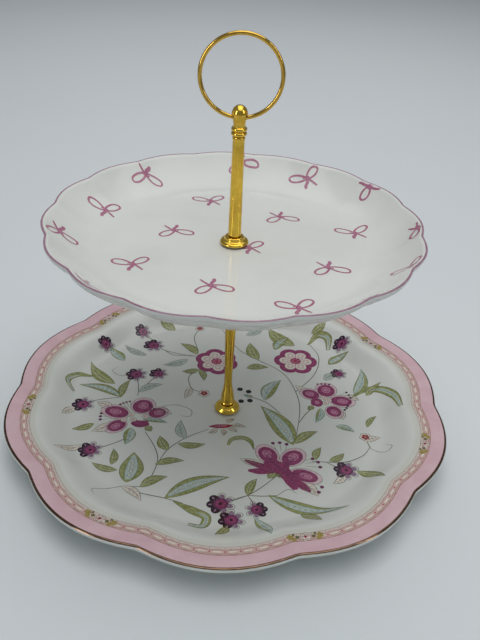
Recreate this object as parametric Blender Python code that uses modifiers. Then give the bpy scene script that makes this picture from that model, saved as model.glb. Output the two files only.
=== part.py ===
"""Two-tier cake stand: scalloped plates on a screwed column with a swinging ring handle.

Units are metres and +Z is up. The origin lies on the column's axis, on the surface the stand
rests on. Run it with: blender --background --python part.py
"""

import math
from dataclasses import dataclass

import bmesh
import bpy

# ---------------------------------------------------------------------------------------------
# Driving dimensions
# ---------------------------------------------------------------------------------------------

# Clearances
FACE_GAP = 0.0003            # between two faces that rest on each other
THREAD_CLEARANCE = 0.0002    # radial, between a thread and its socket
THREAD_END_ROOM = 0.0010     # past the end of a thread in a blind socket
WASHER_BORE_CLEARANCE = 0.0004  # radial, between a thread and the washers on it
RING_HOLE_CLEARANCE = 0.00015   # radial, round the ring's wire where it bends inside the finial
TABLE_CLEARANCE = 0.0008     # between the bolt's head and the table

# Threads
MAIN_THREAD_RADIUS = 0.0019
FINIAL_THREAD_RADIUS = 0.0015
THREAD_ENGAGEMENT = 0.0085
FINIAL_THREAD_LENGTH = 0.0060
THREAD_CHAMFER = 0.0004

# Plates
PLATE_HOLE_RADIUS = 0.0035
LOWER_RADIUS = 0.1310        # axis to the crown of a lobe
LOWER_LOBES = 10
LOWER_SCALLOP = 0.0046       # how far a notch lies inside the crowns
LOWER_DEPTH = 0.0113         # rim above the floor of the well
LOWER_THICKNESS = 0.0042
LOWER_RIM_WALL = 0.0040
LOWER_FLANGE_WIDTH = 0.0135
LOWER_FLANGE_RISE = 0.0012
LOWER_WALL_RUN = 0.0240      # width of the curved wall between the floor and the flange
LOWER_FOOT_RADIUS = 0.0685
UPPER_RADIUS = 0.1000
UPPER_LOBES = 16
UPPER_SCALLOP = 0.0022
UPPER_DEPTH = 0.0147
UPPER_THICKNESS = 0.0037
UPPER_RIM_WALL = 0.0024
UPPER_FLANGE_WIDTH = 0.0012
UPPER_FLANGE_RISE = 0.0004
UPPER_WALL_RUN = 0.0280
UPPER_FOOT_RADIUS = 0.0600
UPPER_FOOT_HEIGHT = 0.0032
UPPER_TURN = math.radians(17.25)  # a notch of the upper rim, from +X
FOOT_WIDTH = 0.0042
FOOT_ROUND = 0.0007

# Washers
RUBBER_RADIUS = 0.0063
RUBBER_THICKNESS = 0.0010
BASE_WASHER_RADIUS = 0.0070
BASE_WASHER_THICKNESS = 0.0006
UNDER_WASHER_RADIUS = 0.0072
UNDER_WASHER_THICKNESS = 0.0010
CUP_RADIUS = 0.0076
CUP_HEIGHT = 0.0041
CUP_RECESS_DEPTH = 0.0007    # the rubber washer sits this far inside its cup
CUP_SEAT_RADIUS = 0.0047     # flat ring on which a column stands

# Base bolt
BOLT_HEAD_RADIUS = 0.0055
BOLT_HEAD_THICKNESS = 0.0017
BOLT_SLOT_WIDTH = 0.0011
BOLT_SLOT_DEPTH = 0.0008

# Columns
LOWER_COLUMN_LENGTH = 0.1012
LOWER_FOOT_BEAD_RADIUS = 0.0043
LOWER_WAIST_RADIUS = 0.0023
UPPER_COLUMN_LENGTH = 0.0540
COLUMN_END_RADIUS = 0.00345  # at the upper plate, on both sides
COLUMN_NECK_RADIUS = 0.0030  # at the top of the upper column
COLUMN_COLLAR_RADIUS = 0.0032

# Finial and ring
FINIAL_BEAD_RADIUS = 0.0040
FINIAL_BEAD_HEIGHT = 0.0023
FINIAL_NECK_RADIUS = 0.0030
FINIAL_HEAD_RADIUS = 0.0034
FINIAL_HEAD_RISE = 0.0058    # from the beads to the dome
FINIAL_DOME_RADIUS = 0.0040
FINIAL_DOME_HEIGHT = 0.0049
RING_OUTER_RADIUS = 0.02085
RING_WIRE_RADIUS = 0.00105
RING_SPLIT = 0.0004          # between the ring's two ends, inside the finial

# Facets
PLATE_STEPS_PER_LOBE = {LOWER_LOBES: 8, UPPER_LOBES: 6}
HARDWARE_STEPS = 24
FINIAL_STEPS = 24
RING_POINTS = 49

GOLD = ("gold_plate", (0.83, 0.62, 0.20), 0.20, 1.0)
GLAZE = ("glazed_ceramic", (0.86, 0.86, 0.84), 0.12, 0.0)
RUBBER = ("clear_rubber", (0.62, 0.62, 0.60), 0.55, 0.0)
STEEL = ("plated_steel", (0.74, 0.70, 0.60), 0.30, 1.0)


# ---------------------------------------------------------------------------------------------
# Places along the column, worked out from the driving dimensions
# ---------------------------------------------------------------------------------------------

RUBBER_STEP = RUBBER_THICKNESS + FACE_GAP
LOWER_UNDERSIDE = (
    TABLE_CLEARANCE
    + BOLT_HEAD_THICKNESS
    + FACE_GAP
    + BASE_WASHER_THICKNESS
    + FACE_GAP
    + RUBBER_STEP
)
BOLT_HEAD_Z = TABLE_CLEARANCE
BASE_WASHER_Z = BOLT_HEAD_Z + BOLT_HEAD_THICKNESS + FACE_GAP
BASE_RUBBER_Z = BASE_WASHER_Z + BASE_WASHER_THICKNESS + FACE_GAP
LOWER_FLOOR = LOWER_UNDERSIDE + LOWER_THICKNESS
LOWER_RUBBER_Z = LOWER_FLOOR + FACE_GAP
LOWER_CUP_Z = LOWER_RUBBER_Z + RUBBER_STEP - CUP_RECESS_DEPTH
LOWER_COLUMN_Z = LOWER_CUP_Z + CUP_HEIGHT + FACE_GAP
UNDER_WASHER_Z = LOWER_COLUMN_Z + LOWER_COLUMN_LENGTH + FACE_GAP
UNDER_RUBBER_Z = UNDER_WASHER_Z + UNDER_WASHER_THICKNESS + FACE_GAP
UPPER_UNDERSIDE = UNDER_RUBBER_Z + RUBBER_STEP
UPPER_FLOOR = UPPER_UNDERSIDE + UPPER_THICKNESS
UPPER_RUBBER_Z = UPPER_FLOOR + FACE_GAP
UPPER_CUP_Z = UPPER_RUBBER_Z + RUBBER_STEP - CUP_RECESS_DEPTH
UPPER_COLUMN_Z = UPPER_CUP_Z + CUP_HEIGHT + FACE_GAP
FINIAL_Z = UPPER_COLUMN_Z + UPPER_COLUMN_LENGTH + FACE_GAP

# The ring's wire bends by this much over the width of the finial's head, so the hole it
# passes through is that much wider than the wire, and its axis lies halfway up the bend.
RING_RADIUS = RING_OUTER_RADIUS - RING_WIRE_RADIUS
RING_BEND = RING_RADIUS - math.sqrt(RING_RADIUS**2 - FINIAL_HEAD_RADIUS**2)
RING_HOLE_RADIUS = RING_WIRE_RADIUS + RING_BEND / 2 + RING_HOLE_CLEARANCE
FINIAL_DOME_Z = 2 * FINIAL_BEAD_HEIGHT + FINIAL_HEAD_RISE
RING_HOLE_Z = FINIAL_DOME_Z - RING_HOLE_RADIUS
RING_AXIS_Z = FINIAL_Z + RING_HOLE_Z


@dataclass(frozen=True)
class PlateSize:
    """Everything that shapes one plate; heights count from the plate's flat underside."""

    radius: float
    lobes: int
    scallop: float
    depth: float
    thickness: float
    rim_wall: float
    flange_width: float
    flange_rise: float
    wall_run: float
    crest: float  # 1 for a wall that levels out into a flange, 0 for one that rises to the rim
    foot_radius: float
    foot_height: float


LOWER_PLATE = PlateSize(
    LOWER_RADIUS,
    LOWER_LOBES,
    LOWER_SCALLOP,
    LOWER_DEPTH,
    LOWER_THICKNESS,
    LOWER_RIM_WALL,
    LOWER_FLANGE_WIDTH,
    LOWER_FLANGE_RISE,
    LOWER_WALL_RUN,
    1.0,
    LOWER_FOOT_RADIUS,
    LOWER_UNDERSIDE,
)
UPPER_PLATE = PlateSize(
    UPPER_RADIUS,
    UPPER_LOBES,
    UPPER_SCALLOP,
    UPPER_DEPTH,
    UPPER_THICKNESS,
    UPPER_RIM_WALL,
    UPPER_FLANGE_WIDTH,
    UPPER_FLANGE_RISE,
    UPPER_WALL_RUN,
    0.0,
    UPPER_FOOT_RADIUS,
    UPPER_FOOT_HEIGHT,
)


# ---------------------------------------------------------------------------------------------
# Tools
# ---------------------------------------------------------------------------------------------


def clear_scene():
    for obj in list(bpy.data.objects):
        bpy.data.objects.remove(obj, do_unlink=True)


def new_collection(name):
    collection = bpy.data.collections.new(name)
    bpy.context.scene.collection.children.link(collection)
    return collection


def finish(name, colour, roughness, metallic):
    """One Principled material."""
    material = bpy.data.materials.new(name)
    material.use_nodes = True
    shader = material.node_tree.nodes["Principled BSDF"]
    shader.inputs["Base Color"].default_value = (*colour, 1.0)
    shader.inputs["Roughness"].default_value = roughness
    shader.inputs["Metallic"].default_value = metallic
    material.diffuse_color = (*colour, 1.0)
    return material


def smoothstep(t):
    t = min(max(t, 0.0), 1.0)
    return t * t * (3 - 2 * t)


def arc(centre, radius, start, end, count, squash=1.0):
    """Points of an arc in the (r, z) plane, angles in degrees from +r towards +z."""
    points = []
    for i in range(count):
        angle = math.radians(start + (end - start) * i / (count - 1))
        across = radius * math.cos(angle)
        points.append((centre[0] + across, centre[1] + radius * squash * math.sin(angle)))
    return points


def turned(name, outline, steps, finish_spec, parts, z, closed):
    """A turned piece from an outline of (r, z) points that runs down the piece's outer side.

    A closed outline makes a ring with a hole; an open one starts and ends on the axis.
    """
    mesh = bpy.data.meshes.new(name)
    edges = [(i, i + 1) for i in range(len(outline) - 1)]
    if closed:
        edges.append((len(outline) - 1, 0))
    mesh.from_pydata([(r, 0.0, height) for r, height in outline], edges, [])
    obj = bpy.data.objects.new(name, mesh)
    parts.objects.link(obj)
    obj.location = (0.0, 0.0, z)
    obj.data.materials.append(finish(f"{name}_{finish_spec[0]}", *finish_spec[1:]))
    screw = obj.modifiers.new("Turn", "SCREW")
    screw.axis = "Z"
    screw.angle = 2 * math.pi
    screw.steps = steps
    screw.render_steps = steps
    screw.use_merge_vertices = True
    screw.merge_threshold = 0.00001
    screw.use_smooth_shade = True
    return obj


def as_plain_mesh(obj):
    """Bakes an object's modifiers or curve into a mesh that keeps its name and place."""
    bpy.context.view_layer.update()
    evaluated = obj.evaluated_get(bpy.context.evaluated_depsgraph_get())
    mesh = bpy.data.meshes.new_from_object(evaluated)
    obj.modifiers.clear()
    obj.data = mesh
    return mesh


def cut(obj, cutter, name):
    boolean = obj.modifiers.new(name, "BOOLEAN")
    boolean.operation = "DIFFERENCE"
    boolean.solver = "EXACT"
    boolean.object = cutter


def new_cutter(name, build, cutters):
    """A hidden cutting body whose mesh is made by build(bmesh)."""
    form = bmesh.new()
    build(form)
    mesh = bpy.data.meshes.new(name)
    form.to_mesh(mesh)
    form.free()
    cutter = bpy.data.objects.new(name, mesh)
    cutters.objects.link(cutter)
    cutter.hide_render = True
    cutter.display_type = "WIRE"
    return cutter


def tier(name, z, parts):
    """An empty on the column's axis that carries the pieces of one tier."""
    empty = bpy.data.objects.new(name, None)
    parts.objects.link(empty)
    empty.location = (0.0, 0.0, z)
    return empty


def stand_on(empty, *pieces):
    """Parents pieces to an empty and keeps them where they are."""
    for piece in pieces:
        piece.location.z -= empty.location.z
        piece.parent = empty


# ---------------------------------------------------------------------------------------------
# Plates
# ---------------------------------------------------------------------------------------------


def lobe_fraction(angle, lobes):
    """1 at the crown of a lobe and 0 in a slightly rounded notch."""
    round_off = 0.06
    wave = math.hypot(math.sin(lobes * angle / 2), round_off) - round_off
    return wave / (math.hypot(1.0, round_off) - round_off)


def top_outline(size):
    """The plate's upper face, from the end of its flat floor out to the rim."""
    flange_r = size.radius - size.rim_wall * 0.3 - size.flange_width
    flange_z = size.thickness + size.depth - size.flange_rise
    rise = flange_z - size.thickness
    points = []
    for t in (0.0, 0.25, 0.5, 0.75, 1.0):
        bowl = t * t
        share = bowl + size.crest * (smoothstep(t) - bowl)
        points.append((flange_r - size.wall_run * (1 - t), size.thickness + rise * share))
    if size.crest:
        points.append((flange_r + size.flange_width / 2, flange_z + size.flange_rise * 0.4))
    return points


def offset_down(points, distances):
    """Points moved at right angles to their polyline, away from its upper side."""
    moved = []
    for i, (r, z) in enumerate(points):
        before = points[max(i - 1, 0)]
        after = points[min(i + 1, len(points) - 1)]
        along = (after[0] - before[0], after[1] - before[1])
        length = math.hypot(*along)
        moved.append((r + along[1] / length * distances[i], z - along[0] / length * distances[i]))
    return moved


def plate_outline(size):
    """The plate's closed section: floor, wall, rim, underside, foot ring and hole."""
    top = top_outline(size)
    rim_z = size.thickness + size.depth
    wall = size.rim_wall
    edge = arc((size.radius - wall * 0.3, rim_z - wall * 0.3), wall * 0.3, 90, 0, 3)
    edge.append((size.radius - wall * 0.10, rim_z - wall * 0.75))
    outline = [(PLATE_HOLE_RADIUS, size.thickness)] + top + edge

    span = len(top) - 1
    depths = [size.thickness + (wall - size.thickness) * i / span for i in range(len(top))]
    foot_outer = size.foot_radius
    under = [p for p in offset_down(top, depths) if p[0] > foot_outer + FOOT_WIDTH]
    under = [p for p in under if p[0] < size.radius - wall * 0.35]
    outline += reversed(under)

    foot_inner = foot_outer - FOOT_WIDTH
    draft = size.foot_height * 0.15
    outline += [
        (foot_outer + draft, 0.0),
        (foot_outer, FOOT_ROUND - size.foot_height),
        (foot_outer - FOOT_ROUND, -size.foot_height),
        (foot_inner + FOOT_ROUND, -size.foot_height),
        (foot_inner, FOOT_ROUND - size.foot_height),
        (foot_inner - draft, 0.0),
        (PLATE_HOLE_RADIUS, 0.0),
    ]
    return outline


def plate(name, size, underside_z, parts):
    """A turned plate whose wall and rim are then drawn in between the lobes."""
    steps = size.lobes * PLATE_STEPS_PER_LOBE[size.lobes]
    obj = turned(name, plate_outline(size), steps, GLAZE, parts, underside_z, True)
    mesh = as_plain_mesh(obj)
    flange_r = size.radius - size.rim_wall - size.flange_width
    floor_r = flange_r - size.wall_run
    for vertex in mesh.vertices:
        radius = math.hypot(vertex.co.x, vertex.co.y)
        share = smoothstep((radius - floor_r) / (flange_r - floor_r))
        if share == 0.0:
            continue
        angle = math.atan2(vertex.co.y, vertex.co.x)
        drawn_in = size.scallop * share * (1 - lobe_fraction(angle, size.lobes))
        vertex.co.x *= 1 - drawn_in / radius
        vertex.co.y *= 1 - drawn_in / radius
    mesh.shade_smooth()
    mesh.set_sharp_from_angle(angle=math.radians(45))
    return obj


# ---------------------------------------------------------------------------------------------
# Washers, bolt and stud
# ---------------------------------------------------------------------------------------------


def washer_bore():
    return MAIN_THREAD_RADIUS + WASHER_BORE_CLEARANCE


def flat_washer(name, radius, thickness, edge, finish_spec, z, parts):
    """A flat ring with both outer edges broken by a small bevel."""
    bore = washer_bore()
    outline = [
        (bore, thickness),
        (radius - edge, thickness),
        (radius, thickness - edge),
        (radius, edge),
        (radius - edge, 0.0),
        (bore, 0.0),
    ]
    return turned(name, outline, HARDWARE_STEPS, finish_spec, parts, z, True)


def rubber_washer(name, z, parts):
    return flat_washer(name, RUBBER_RADIUS, RUBBER_THICKNESS, 0.0002, RUBBER, z, parts)


def cup_underside():
    """The hollow under a cup washer that takes its rubber washer, from the bore to the lip."""
    recess = RUBBER_RADIUS + FACE_GAP
    return [(recess, 0.0), (recess, CUP_RECESS_DEPTH), (washer_bore(), CUP_RECESS_DEPTH)]


def domed_cup(name, z, parts):
    """The lower cup washer: a dome that spreads from the column's foot."""
    seat_to_edge = CUP_RADIUS - CUP_SEAT_RADIUS
    outline = [
        (washer_bore(), CUP_HEIGHT),
        (CUP_SEAT_RADIUS, CUP_HEIGHT),
        (CUP_SEAT_RADIUS + seat_to_edge * 0.42, CUP_HEIGHT * 0.80),
        (CUP_SEAT_RADIUS + seat_to_edge * 0.80, CUP_HEIGHT * 0.52),
        (CUP_RADIUS, CUP_HEIGHT * 0.26),
        (CUP_RADIUS, CUP_HEIGHT * 0.12),
        (CUP_RADIUS - 0.0004, 0.0),
    ]
    return turned(name, outline + cup_underside(), HARDWARE_STEPS, GOLD, parts, z, True)


def stepped_cup(name, z, parts):
    """The upper cup washer: a rounded flange with a raised collar for the column."""
    collar = CUP_SEAT_RADIUS + 0.0005
    outline = [
        (washer_bore(), CUP_HEIGHT),
        (CUP_SEAT_RADIUS, CUP_HEIGHT),
        (collar, CUP_HEIGHT * 0.88),
        (collar, CUP_HEIGHT * 0.62),
        (CUP_SEAT_RADIUS + 0.0010, CUP_HEIGHT * 0.52),
        (CUP_RADIUS - 0.0006, CUP_HEIGHT * 0.44),
        (CUP_RADIUS, CUP_HEIGHT * 0.28),
        (CUP_RADIUS, CUP_HEIGHT * 0.12),
        (CUP_RADIUS - 0.0004, 0.0),
    ]
    return turned(name, outline + cup_underside(), HARDWARE_STEPS, GOLD, parts, z, True)


def base_bolt(parts, cutters):
    """The slotted bolt; its thread ends inside the lower column's socket."""
    thread_top = LOWER_COLUMN_Z + THREAD_ENGAGEMENT - BOLT_HEAD_Z
    edge = 0.0004
    outline = [
        (0.0, thread_top),
        (MAIN_THREAD_RADIUS - THREAD_CHAMFER, thread_top),
        (MAIN_THREAD_RADIUS, thread_top - THREAD_CHAMFER),
        (MAIN_THREAD_RADIUS, BOLT_HEAD_THICKNESS),
        (BOLT_HEAD_RADIUS - edge, BOLT_HEAD_THICKNESS),
        (BOLT_HEAD_RADIUS, BOLT_HEAD_THICKNESS - edge),
        (BOLT_HEAD_RADIUS, 2 * edge),
        (BOLT_HEAD_RADIUS - 2 * edge, 0.0),
        (0.0, 0.0),
    ]
    obj = turned("base_bolt", outline, HARDWARE_STEPS, STEEL, parts, BOLT_HEAD_Z, False)

    def slot(form):
        bmesh.ops.create_cube(form, size=1.0)
        scale = (3 * BOLT_HEAD_RADIUS, BOLT_SLOT_WIDTH, 2 * BOLT_SLOT_DEPTH)
        bmesh.ops.scale(form, vec=scale, verts=form.verts)

    cutter = new_cutter("bolt_slot_cutter", slot, cutters)
    cutter.location.z = BOLT_HEAD_Z
    cut(obj, cutter, "Slot")
    return obj


def column_stud(parts):
    """The stud between the columns; it ends in the sockets of both."""
    bottom = UNDER_WASHER_Z - FACE_GAP - THREAD_ENGAGEMENT
    length = UPPER_COLUMN_Z + THREAD_ENGAGEMENT - bottom
    tip = MAIN_THREAD_RADIUS - THREAD_CHAMFER
    outline = [
        (0.0, length),
        (tip, length),
        (MAIN_THREAD_RADIUS, length - THREAD_CHAMFER),
        (MAIN_THREAD_RADIUS, THREAD_CHAMFER),
        (tip, 0.0),
        (0.0, 0.0),
    ]
    return turned("column_stud", outline, HARDWARE_STEPS, STEEL, parts, bottom, False)


# ---------------------------------------------------------------------------------------------
# Columns and finial
# ---------------------------------------------------------------------------------------------


def socket_down(thread_radius, depth, face_z):
    """A blind socket in a top face, from its floor on the axis up to the face."""
    bore = thread_radius + THREAD_CLEARANCE
    floor = face_z - depth - THREAD_END_ROOM
    return [(0.0, floor), (bore, floor), (bore, face_z)]


def socket_up(thread_radius, depth):
    """A blind socket in the bottom face at z = 0, from the face up to its floor."""
    bore = thread_radius + THREAD_CLEARANCE
    ceiling = depth + THREAD_END_ROOM
    return [(bore, 0.0), (bore, ceiling), (0.0, ceiling)]


def lower_column(parts):
    """A long swelling shaft over a narrow waist and a flared foot with a bead."""
    length = LOWER_COLUMN_LENGTH
    bead = LOWER_FOOT_BEAD_RADIUS
    waist = LOWER_WAIST_RADIUS
    bead_height = 0.0016
    flare_height = 0.0145      # from the foot to the waist
    waist_height = 0.0200
    flare = []
    for t in (0.0, 0.25, 0.5, 0.75, 1.0):
        radius = waist + (bead - 0.0003 - waist) * (1 - smoothstep(t))
        flare.append((radius, bead_height + 0.0004 + flare_height * t))
    outline = [
        (COLUMN_END_RADIUS - 0.0003, length),
        (COLUMN_END_RADIUS, length - 0.0003),
        (COLUMN_END_RADIUS, length - 0.0150),
        (waist + (COLUMN_END_RADIUS - waist) * 0.62, length * 0.52),
        (waist + (COLUMN_END_RADIUS - waist) * 0.25, length * 0.33),
        (waist, waist_height + 0.0010),
        *reversed(flare),
        *arc((bead - bead_height / 2, bead_height / 2), bead_height / 2, 60, -60, 4),
    ]
    outline = socket_down(MAIN_THREAD_RADIUS, THREAD_ENGAGEMENT, length) + outline
    outline += socket_up(MAIN_THREAD_RADIUS, THREAD_ENGAGEMENT)
    return turned("lower_column", outline, HARDWARE_STEPS, GOLD, parts, LOWER_COLUMN_Z, False)


def upper_column(parts):
    """A slightly tapered shaft with a small collar under the finial."""
    length = UPPER_COLUMN_LENGTH
    collar_height = 0.0020
    edge = 0.0003
    outline = [
        (COLUMN_COLLAR_RADIUS - edge, length),
        (COLUMN_COLLAR_RADIUS, length - edge),
        (COLUMN_COLLAR_RADIUS, length - collar_height + edge),
        (COLUMN_NECK_RADIUS, length - collar_height),
        (COLUMN_END_RADIUS, edge),
        (COLUMN_END_RADIUS - edge, 0.0),
    ]
    outline = socket_down(FINIAL_THREAD_RADIUS, FINIAL_THREAD_LENGTH, length) + outline
    outline += socket_up(MAIN_THREAD_RADIUS, THREAD_ENGAGEMENT)
    return turned("upper_column", outline, HARDWARE_STEPS, GOLD, parts, UPPER_COLUMN_Z, False)


def finial(parts, cutters):
    """Dome, waisted neck, two beads and a threaded spigot, drilled across for the ring."""
    bead_half = FINIAL_BEAD_HEIGHT / 2
    bead_centre = FINIAL_BEAD_RADIUS - bead_half
    neck_z = 2 * FINIAL_BEAD_HEIGHT
    lip = 0.0004
    dome_centre = (0.0, FINIAL_DOME_Z + lip)
    squash = (FINIAL_DOME_HEIGHT - lip) / FINIAL_DOME_RADIUS
    outline = [
        *arc(dome_centre, FINIAL_DOME_RADIUS, 90, 0, 7, squash),
        (FINIAL_DOME_RADIUS - lip, FINIAL_DOME_Z),
        (FINIAL_HEAD_RADIUS, FINIAL_DOME_Z - lip),
        (FINIAL_HEAD_RADIUS - 0.0001, FINIAL_DOME_Z - FINIAL_HEAD_RISE * 0.42),
        (FINIAL_NECK_RADIUS, neck_z + FINIAL_HEAD_RISE * 0.22),
        (FINIAL_NECK_RADIUS, neck_z + 0.0002),
        *arc((bead_centre, neck_z - bead_half), bead_half, 80, -80, 5),
        *arc((bead_centre, bead_half), bead_half, 80, -80, 5),
        (FINIAL_THREAD_RADIUS, 0.0),
        (FINIAL_THREAD_RADIUS, THREAD_CHAMFER - FINIAL_THREAD_LENGTH),
        (FINIAL_THREAD_RADIUS - THREAD_CHAMFER, -FINIAL_THREAD_LENGTH),
        (0.0, -FINIAL_THREAD_LENGTH),
    ]
    obj = turned("finial", outline, FINIAL_STEPS, GOLD, parts, FINIAL_Z, False)

    def cross_hole(form):
        bmesh.ops.create_cone(
            form,
            cap_ends=True,
            segments=FINIAL_STEPS,
            radius1=RING_HOLE_RADIUS,
            radius2=RING_HOLE_RADIUS,
            depth=4 * FINIAL_DOME_RADIUS,
        )

    drill = new_cutter("ring_hole_cutter", cross_hole, cutters)
    drill.rotation_euler = (0.0, math.pi / 2, 0.0)
    drill.location.z = RING_AXIS_Z
    cut(obj, drill, "RingHole")
    return obj


def handle_ring(parts):
    """A wire bent round to a ring; its two ends all but meet inside the finial's hole."""
    curve = bpy.data.curves.new("handle_ring", "CURVE")
    curve.dimensions = "3D"
    curve.bevel_depth = RING_WIRE_RADIUS
    curve.bevel_resolution = 2
    curve.use_fill_caps = True
    spline = curve.splines.new("POLY")
    spline.points.add(RING_POINTS - 1)
    half_split = RING_SPLIT / 2 / RING_RADIUS
    centre_z = RING_RADIUS - RING_BEND / 2
    for i, point in enumerate(spline.points):
        angle = half_split + (2 * math.pi - 2 * half_split) * i / (RING_POINTS - 1)
        x = RING_RADIUS * math.sin(angle)
        z = centre_z - RING_RADIUS * math.cos(angle)
        point.co = (x, 0.0, z, 1.0)
    obj = bpy.data.objects.new("handle_ring", curve)
    parts.objects.link(obj)
    obj.location = (0.0, 0.0, RING_AXIS_Z)
    curve.materials.append(finish(f"handle_ring_{GOLD[0]}", *GOLD[1:]))
    return obj


# ---------------------------------------------------------------------------------------------
# Assembly
# ---------------------------------------------------------------------------------------------


def main():
    clear_scene()
    parts = new_collection("tiered_cake_stand")
    cutters = new_collection("cutters")

    lower_tier = tier("lower_tier", LOWER_UNDERSIDE, parts)
    stand_on(
        lower_tier,
        plate("lower_plate", LOWER_PLATE, LOWER_UNDERSIDE, parts),
        base_bolt(parts, cutters),
        flat_washer(
            "base_washer",
            BASE_WASHER_RADIUS,
            BASE_WASHER_THICKNESS,
            0.00015,
            STEEL,
            BASE_WASHER_Z,
            parts,
        ),
        rubber_washer("base_rubber_washer", BASE_RUBBER_Z, parts),
        rubber_washer("lower_rubber_washer", LOWER_RUBBER_Z, parts),
        domed_cup("lower_cup_washer", LOWER_CUP_Z, parts),
        lower_column(parts),
    )

    upper_tier = tier("upper_tier", UPPER_UNDERSIDE, parts)
    top_plate = plate("upper_plate", UPPER_PLATE, UPPER_UNDERSIDE, parts)
    top_plate.rotation_euler.z = UPPER_TURN
    stand_on(
        upper_tier,
        flat_washer(
            "under_washer",
            UNDER_WASHER_RADIUS,
            UNDER_WASHER_THICKNESS,
            0.0002,
            GOLD,
            UNDER_WASHER_Z,
            parts,
        ),
        rubber_washer("under_rubber_washer", UNDER_RUBBER_Z, parts),
        top_plate,
        rubber_washer("upper_rubber_washer", UPPER_RUBBER_Z, parts),
        stepped_cup("upper_cup_washer", UPPER_CUP_Z, parts),
        column_stud(parts),
        upper_column(parts),
    )

    handle = tier("handle_axis", RING_AXIS_Z, parts)
    stand_on(handle, finial(parts, cutters), handle_ring(parts))


main()
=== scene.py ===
"""The looks of a two-tier cake stand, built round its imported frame.

Two scalloped plates in white glaze carry printed decoration: flowers and a pink border on the lower one,
ribbon bows on the upper one. A gold-plated column with turned washers, a finial and a swinging ring holds
them together.

Lengths are in metres, except in the prints, which are drawn in millimetres as seen from above the plate.
"""

import logging
import math
from dataclasses import dataclass, field
from enum import Enum
from typing import Any, Sequence

import bmesh
import bpy
import numpy as np
from mathutils import Matrix, Vector


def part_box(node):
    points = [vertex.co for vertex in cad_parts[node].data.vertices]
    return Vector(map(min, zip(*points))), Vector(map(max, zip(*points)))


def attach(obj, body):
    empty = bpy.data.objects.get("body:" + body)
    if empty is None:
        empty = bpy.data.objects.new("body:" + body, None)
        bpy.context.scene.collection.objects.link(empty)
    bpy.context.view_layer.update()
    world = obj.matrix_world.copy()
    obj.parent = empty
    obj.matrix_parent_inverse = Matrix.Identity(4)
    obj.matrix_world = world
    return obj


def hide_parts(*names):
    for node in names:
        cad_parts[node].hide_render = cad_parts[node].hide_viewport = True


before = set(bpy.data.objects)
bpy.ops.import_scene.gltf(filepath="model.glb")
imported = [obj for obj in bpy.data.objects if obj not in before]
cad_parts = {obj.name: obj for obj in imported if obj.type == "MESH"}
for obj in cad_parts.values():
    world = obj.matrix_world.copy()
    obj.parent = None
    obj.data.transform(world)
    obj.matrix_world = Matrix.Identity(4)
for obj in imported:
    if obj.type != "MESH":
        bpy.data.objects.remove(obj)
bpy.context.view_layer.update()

LOG = logging.getLogger("cake_stand")
MM = 0.001

Point = tuple[float, float]
Rgb = tuple[float, float, float]
Spot = tuple[float, float, float]
Face = tuple[int, ...]


# ---------------------------------------------------------------------------------------------
# Small tools for numbers, colours and outlines
# ---------------------------------------------------------------------------------------------


def linear(code: str) -> Rgb:
    """The linear colour of a code such as "c48a9a"."""
    parts = [int(code[i : i + 2], 16) / 255 for i in (0, 2, 4)]
    return tuple(((p + 0.055) / 1.055) ** 2.4 if p > 0.04045 else p / 12.92 for p in parts)


def smoothstep(share: np.ndarray) -> np.ndarray:
    """0 below 0 and 1 above 1, with a smooth rise between."""
    held = np.clip(share, 0.0, 1.0)
    return held * held * (3 - 2 * held)


def flowing(points: Sequence[Point], step: float, closed: bool = False) -> np.ndarray:
    """A smooth path through points.

    Args:
        points: the points that it passes through.
        step: the longest distance between its own points.
        closed: whether it runs on from the last point to the first.

    Returns:
        The path's points, one row each.
    """
    given = np.asarray(points, float)
    if closed:
        given = np.vstack([given[-1:], given, given[:2]])
    else:
        given = np.vstack([2 * given[0] - given[1], given, 2 * given[-1] - given[-2]])
    pieces = []
    for before, start, end, after in zip(given, given[1:], given[2:], given[3:]):
        count = max(2, math.ceil(np.linalg.norm(end - start) / step))
        t = (np.arange(count) / count)[:, None]
        pull = (end - before) * t + (2 * before - 5 * start + 4 * end - after) * t**2
        pieces.append(start + 0.5 * (pull + (3 * start - 3 * end + after - before) * t**3))
    if not closed:
        pieces.append(given[-2:-1])
    return np.vstack(pieces)


def polar(centre: Point, reach: float, angle: float) -> Point:
    """The point at a distance and an angle from centre."""
    return (centre[0] + reach * math.cos(angle), centre[1] + reach * math.sin(angle))


def arc(
    centre: Point, radius: float, start: float, end: float, count: int, squash: float = 1.0
) -> list[Point]:
    """Points on an arc, by angle in degrees, with its heights scaled by squash."""
    angles = [math.radians(start + (end - start) * i / (count - 1)) for i in range(count)]
    return [(centre[0] + radius * math.cos(a), centre[1] + radius * squash * math.sin(a)) for a in angles]


def softened(outline: Sequence[Point], radius: float, closed: bool = False, count: int = 4) -> list[Point]:
    """An outline with each corner rounded, as polishing leaves it.

    Args:
        outline: the corners in order.
        radius: how far from its corner each rounding starts, where the sides are long enough.
        closed: whether the outline runs on from its last corner to its first.
        count: the points on each rounding.

    Returns:
        The rounded outline. An open one keeps its two ends.
    """
    corners = [Vector(p) for p in outline]
    total = len(corners)
    result = [] if closed else [tuple(corners[0])]
    for i in range(0 if closed else 1, total if closed else total - 1):
        before, here, after = corners[i - 1], corners[i], corners[(i + 1) % total]
        reach_in = min(radius, (here - before).length * 0.45)
        reach_out = min(radius, (after - here).length * 0.45)
        start = here + (before - here).normalized() * reach_in
        end = here + (after - here).normalized() * reach_out
        for k in range(count):
            t = k / (count - 1)
            result.append(tuple(start * (1 - t) ** 2 + here * 2 * t * (1 - t) + end * t * t))
    if not closed:
        result.append(tuple(corners[-1]))
    return result


# ---------------------------------------------------------------------------------------------
# Material recipes
# ---------------------------------------------------------------------------------------------


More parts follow.
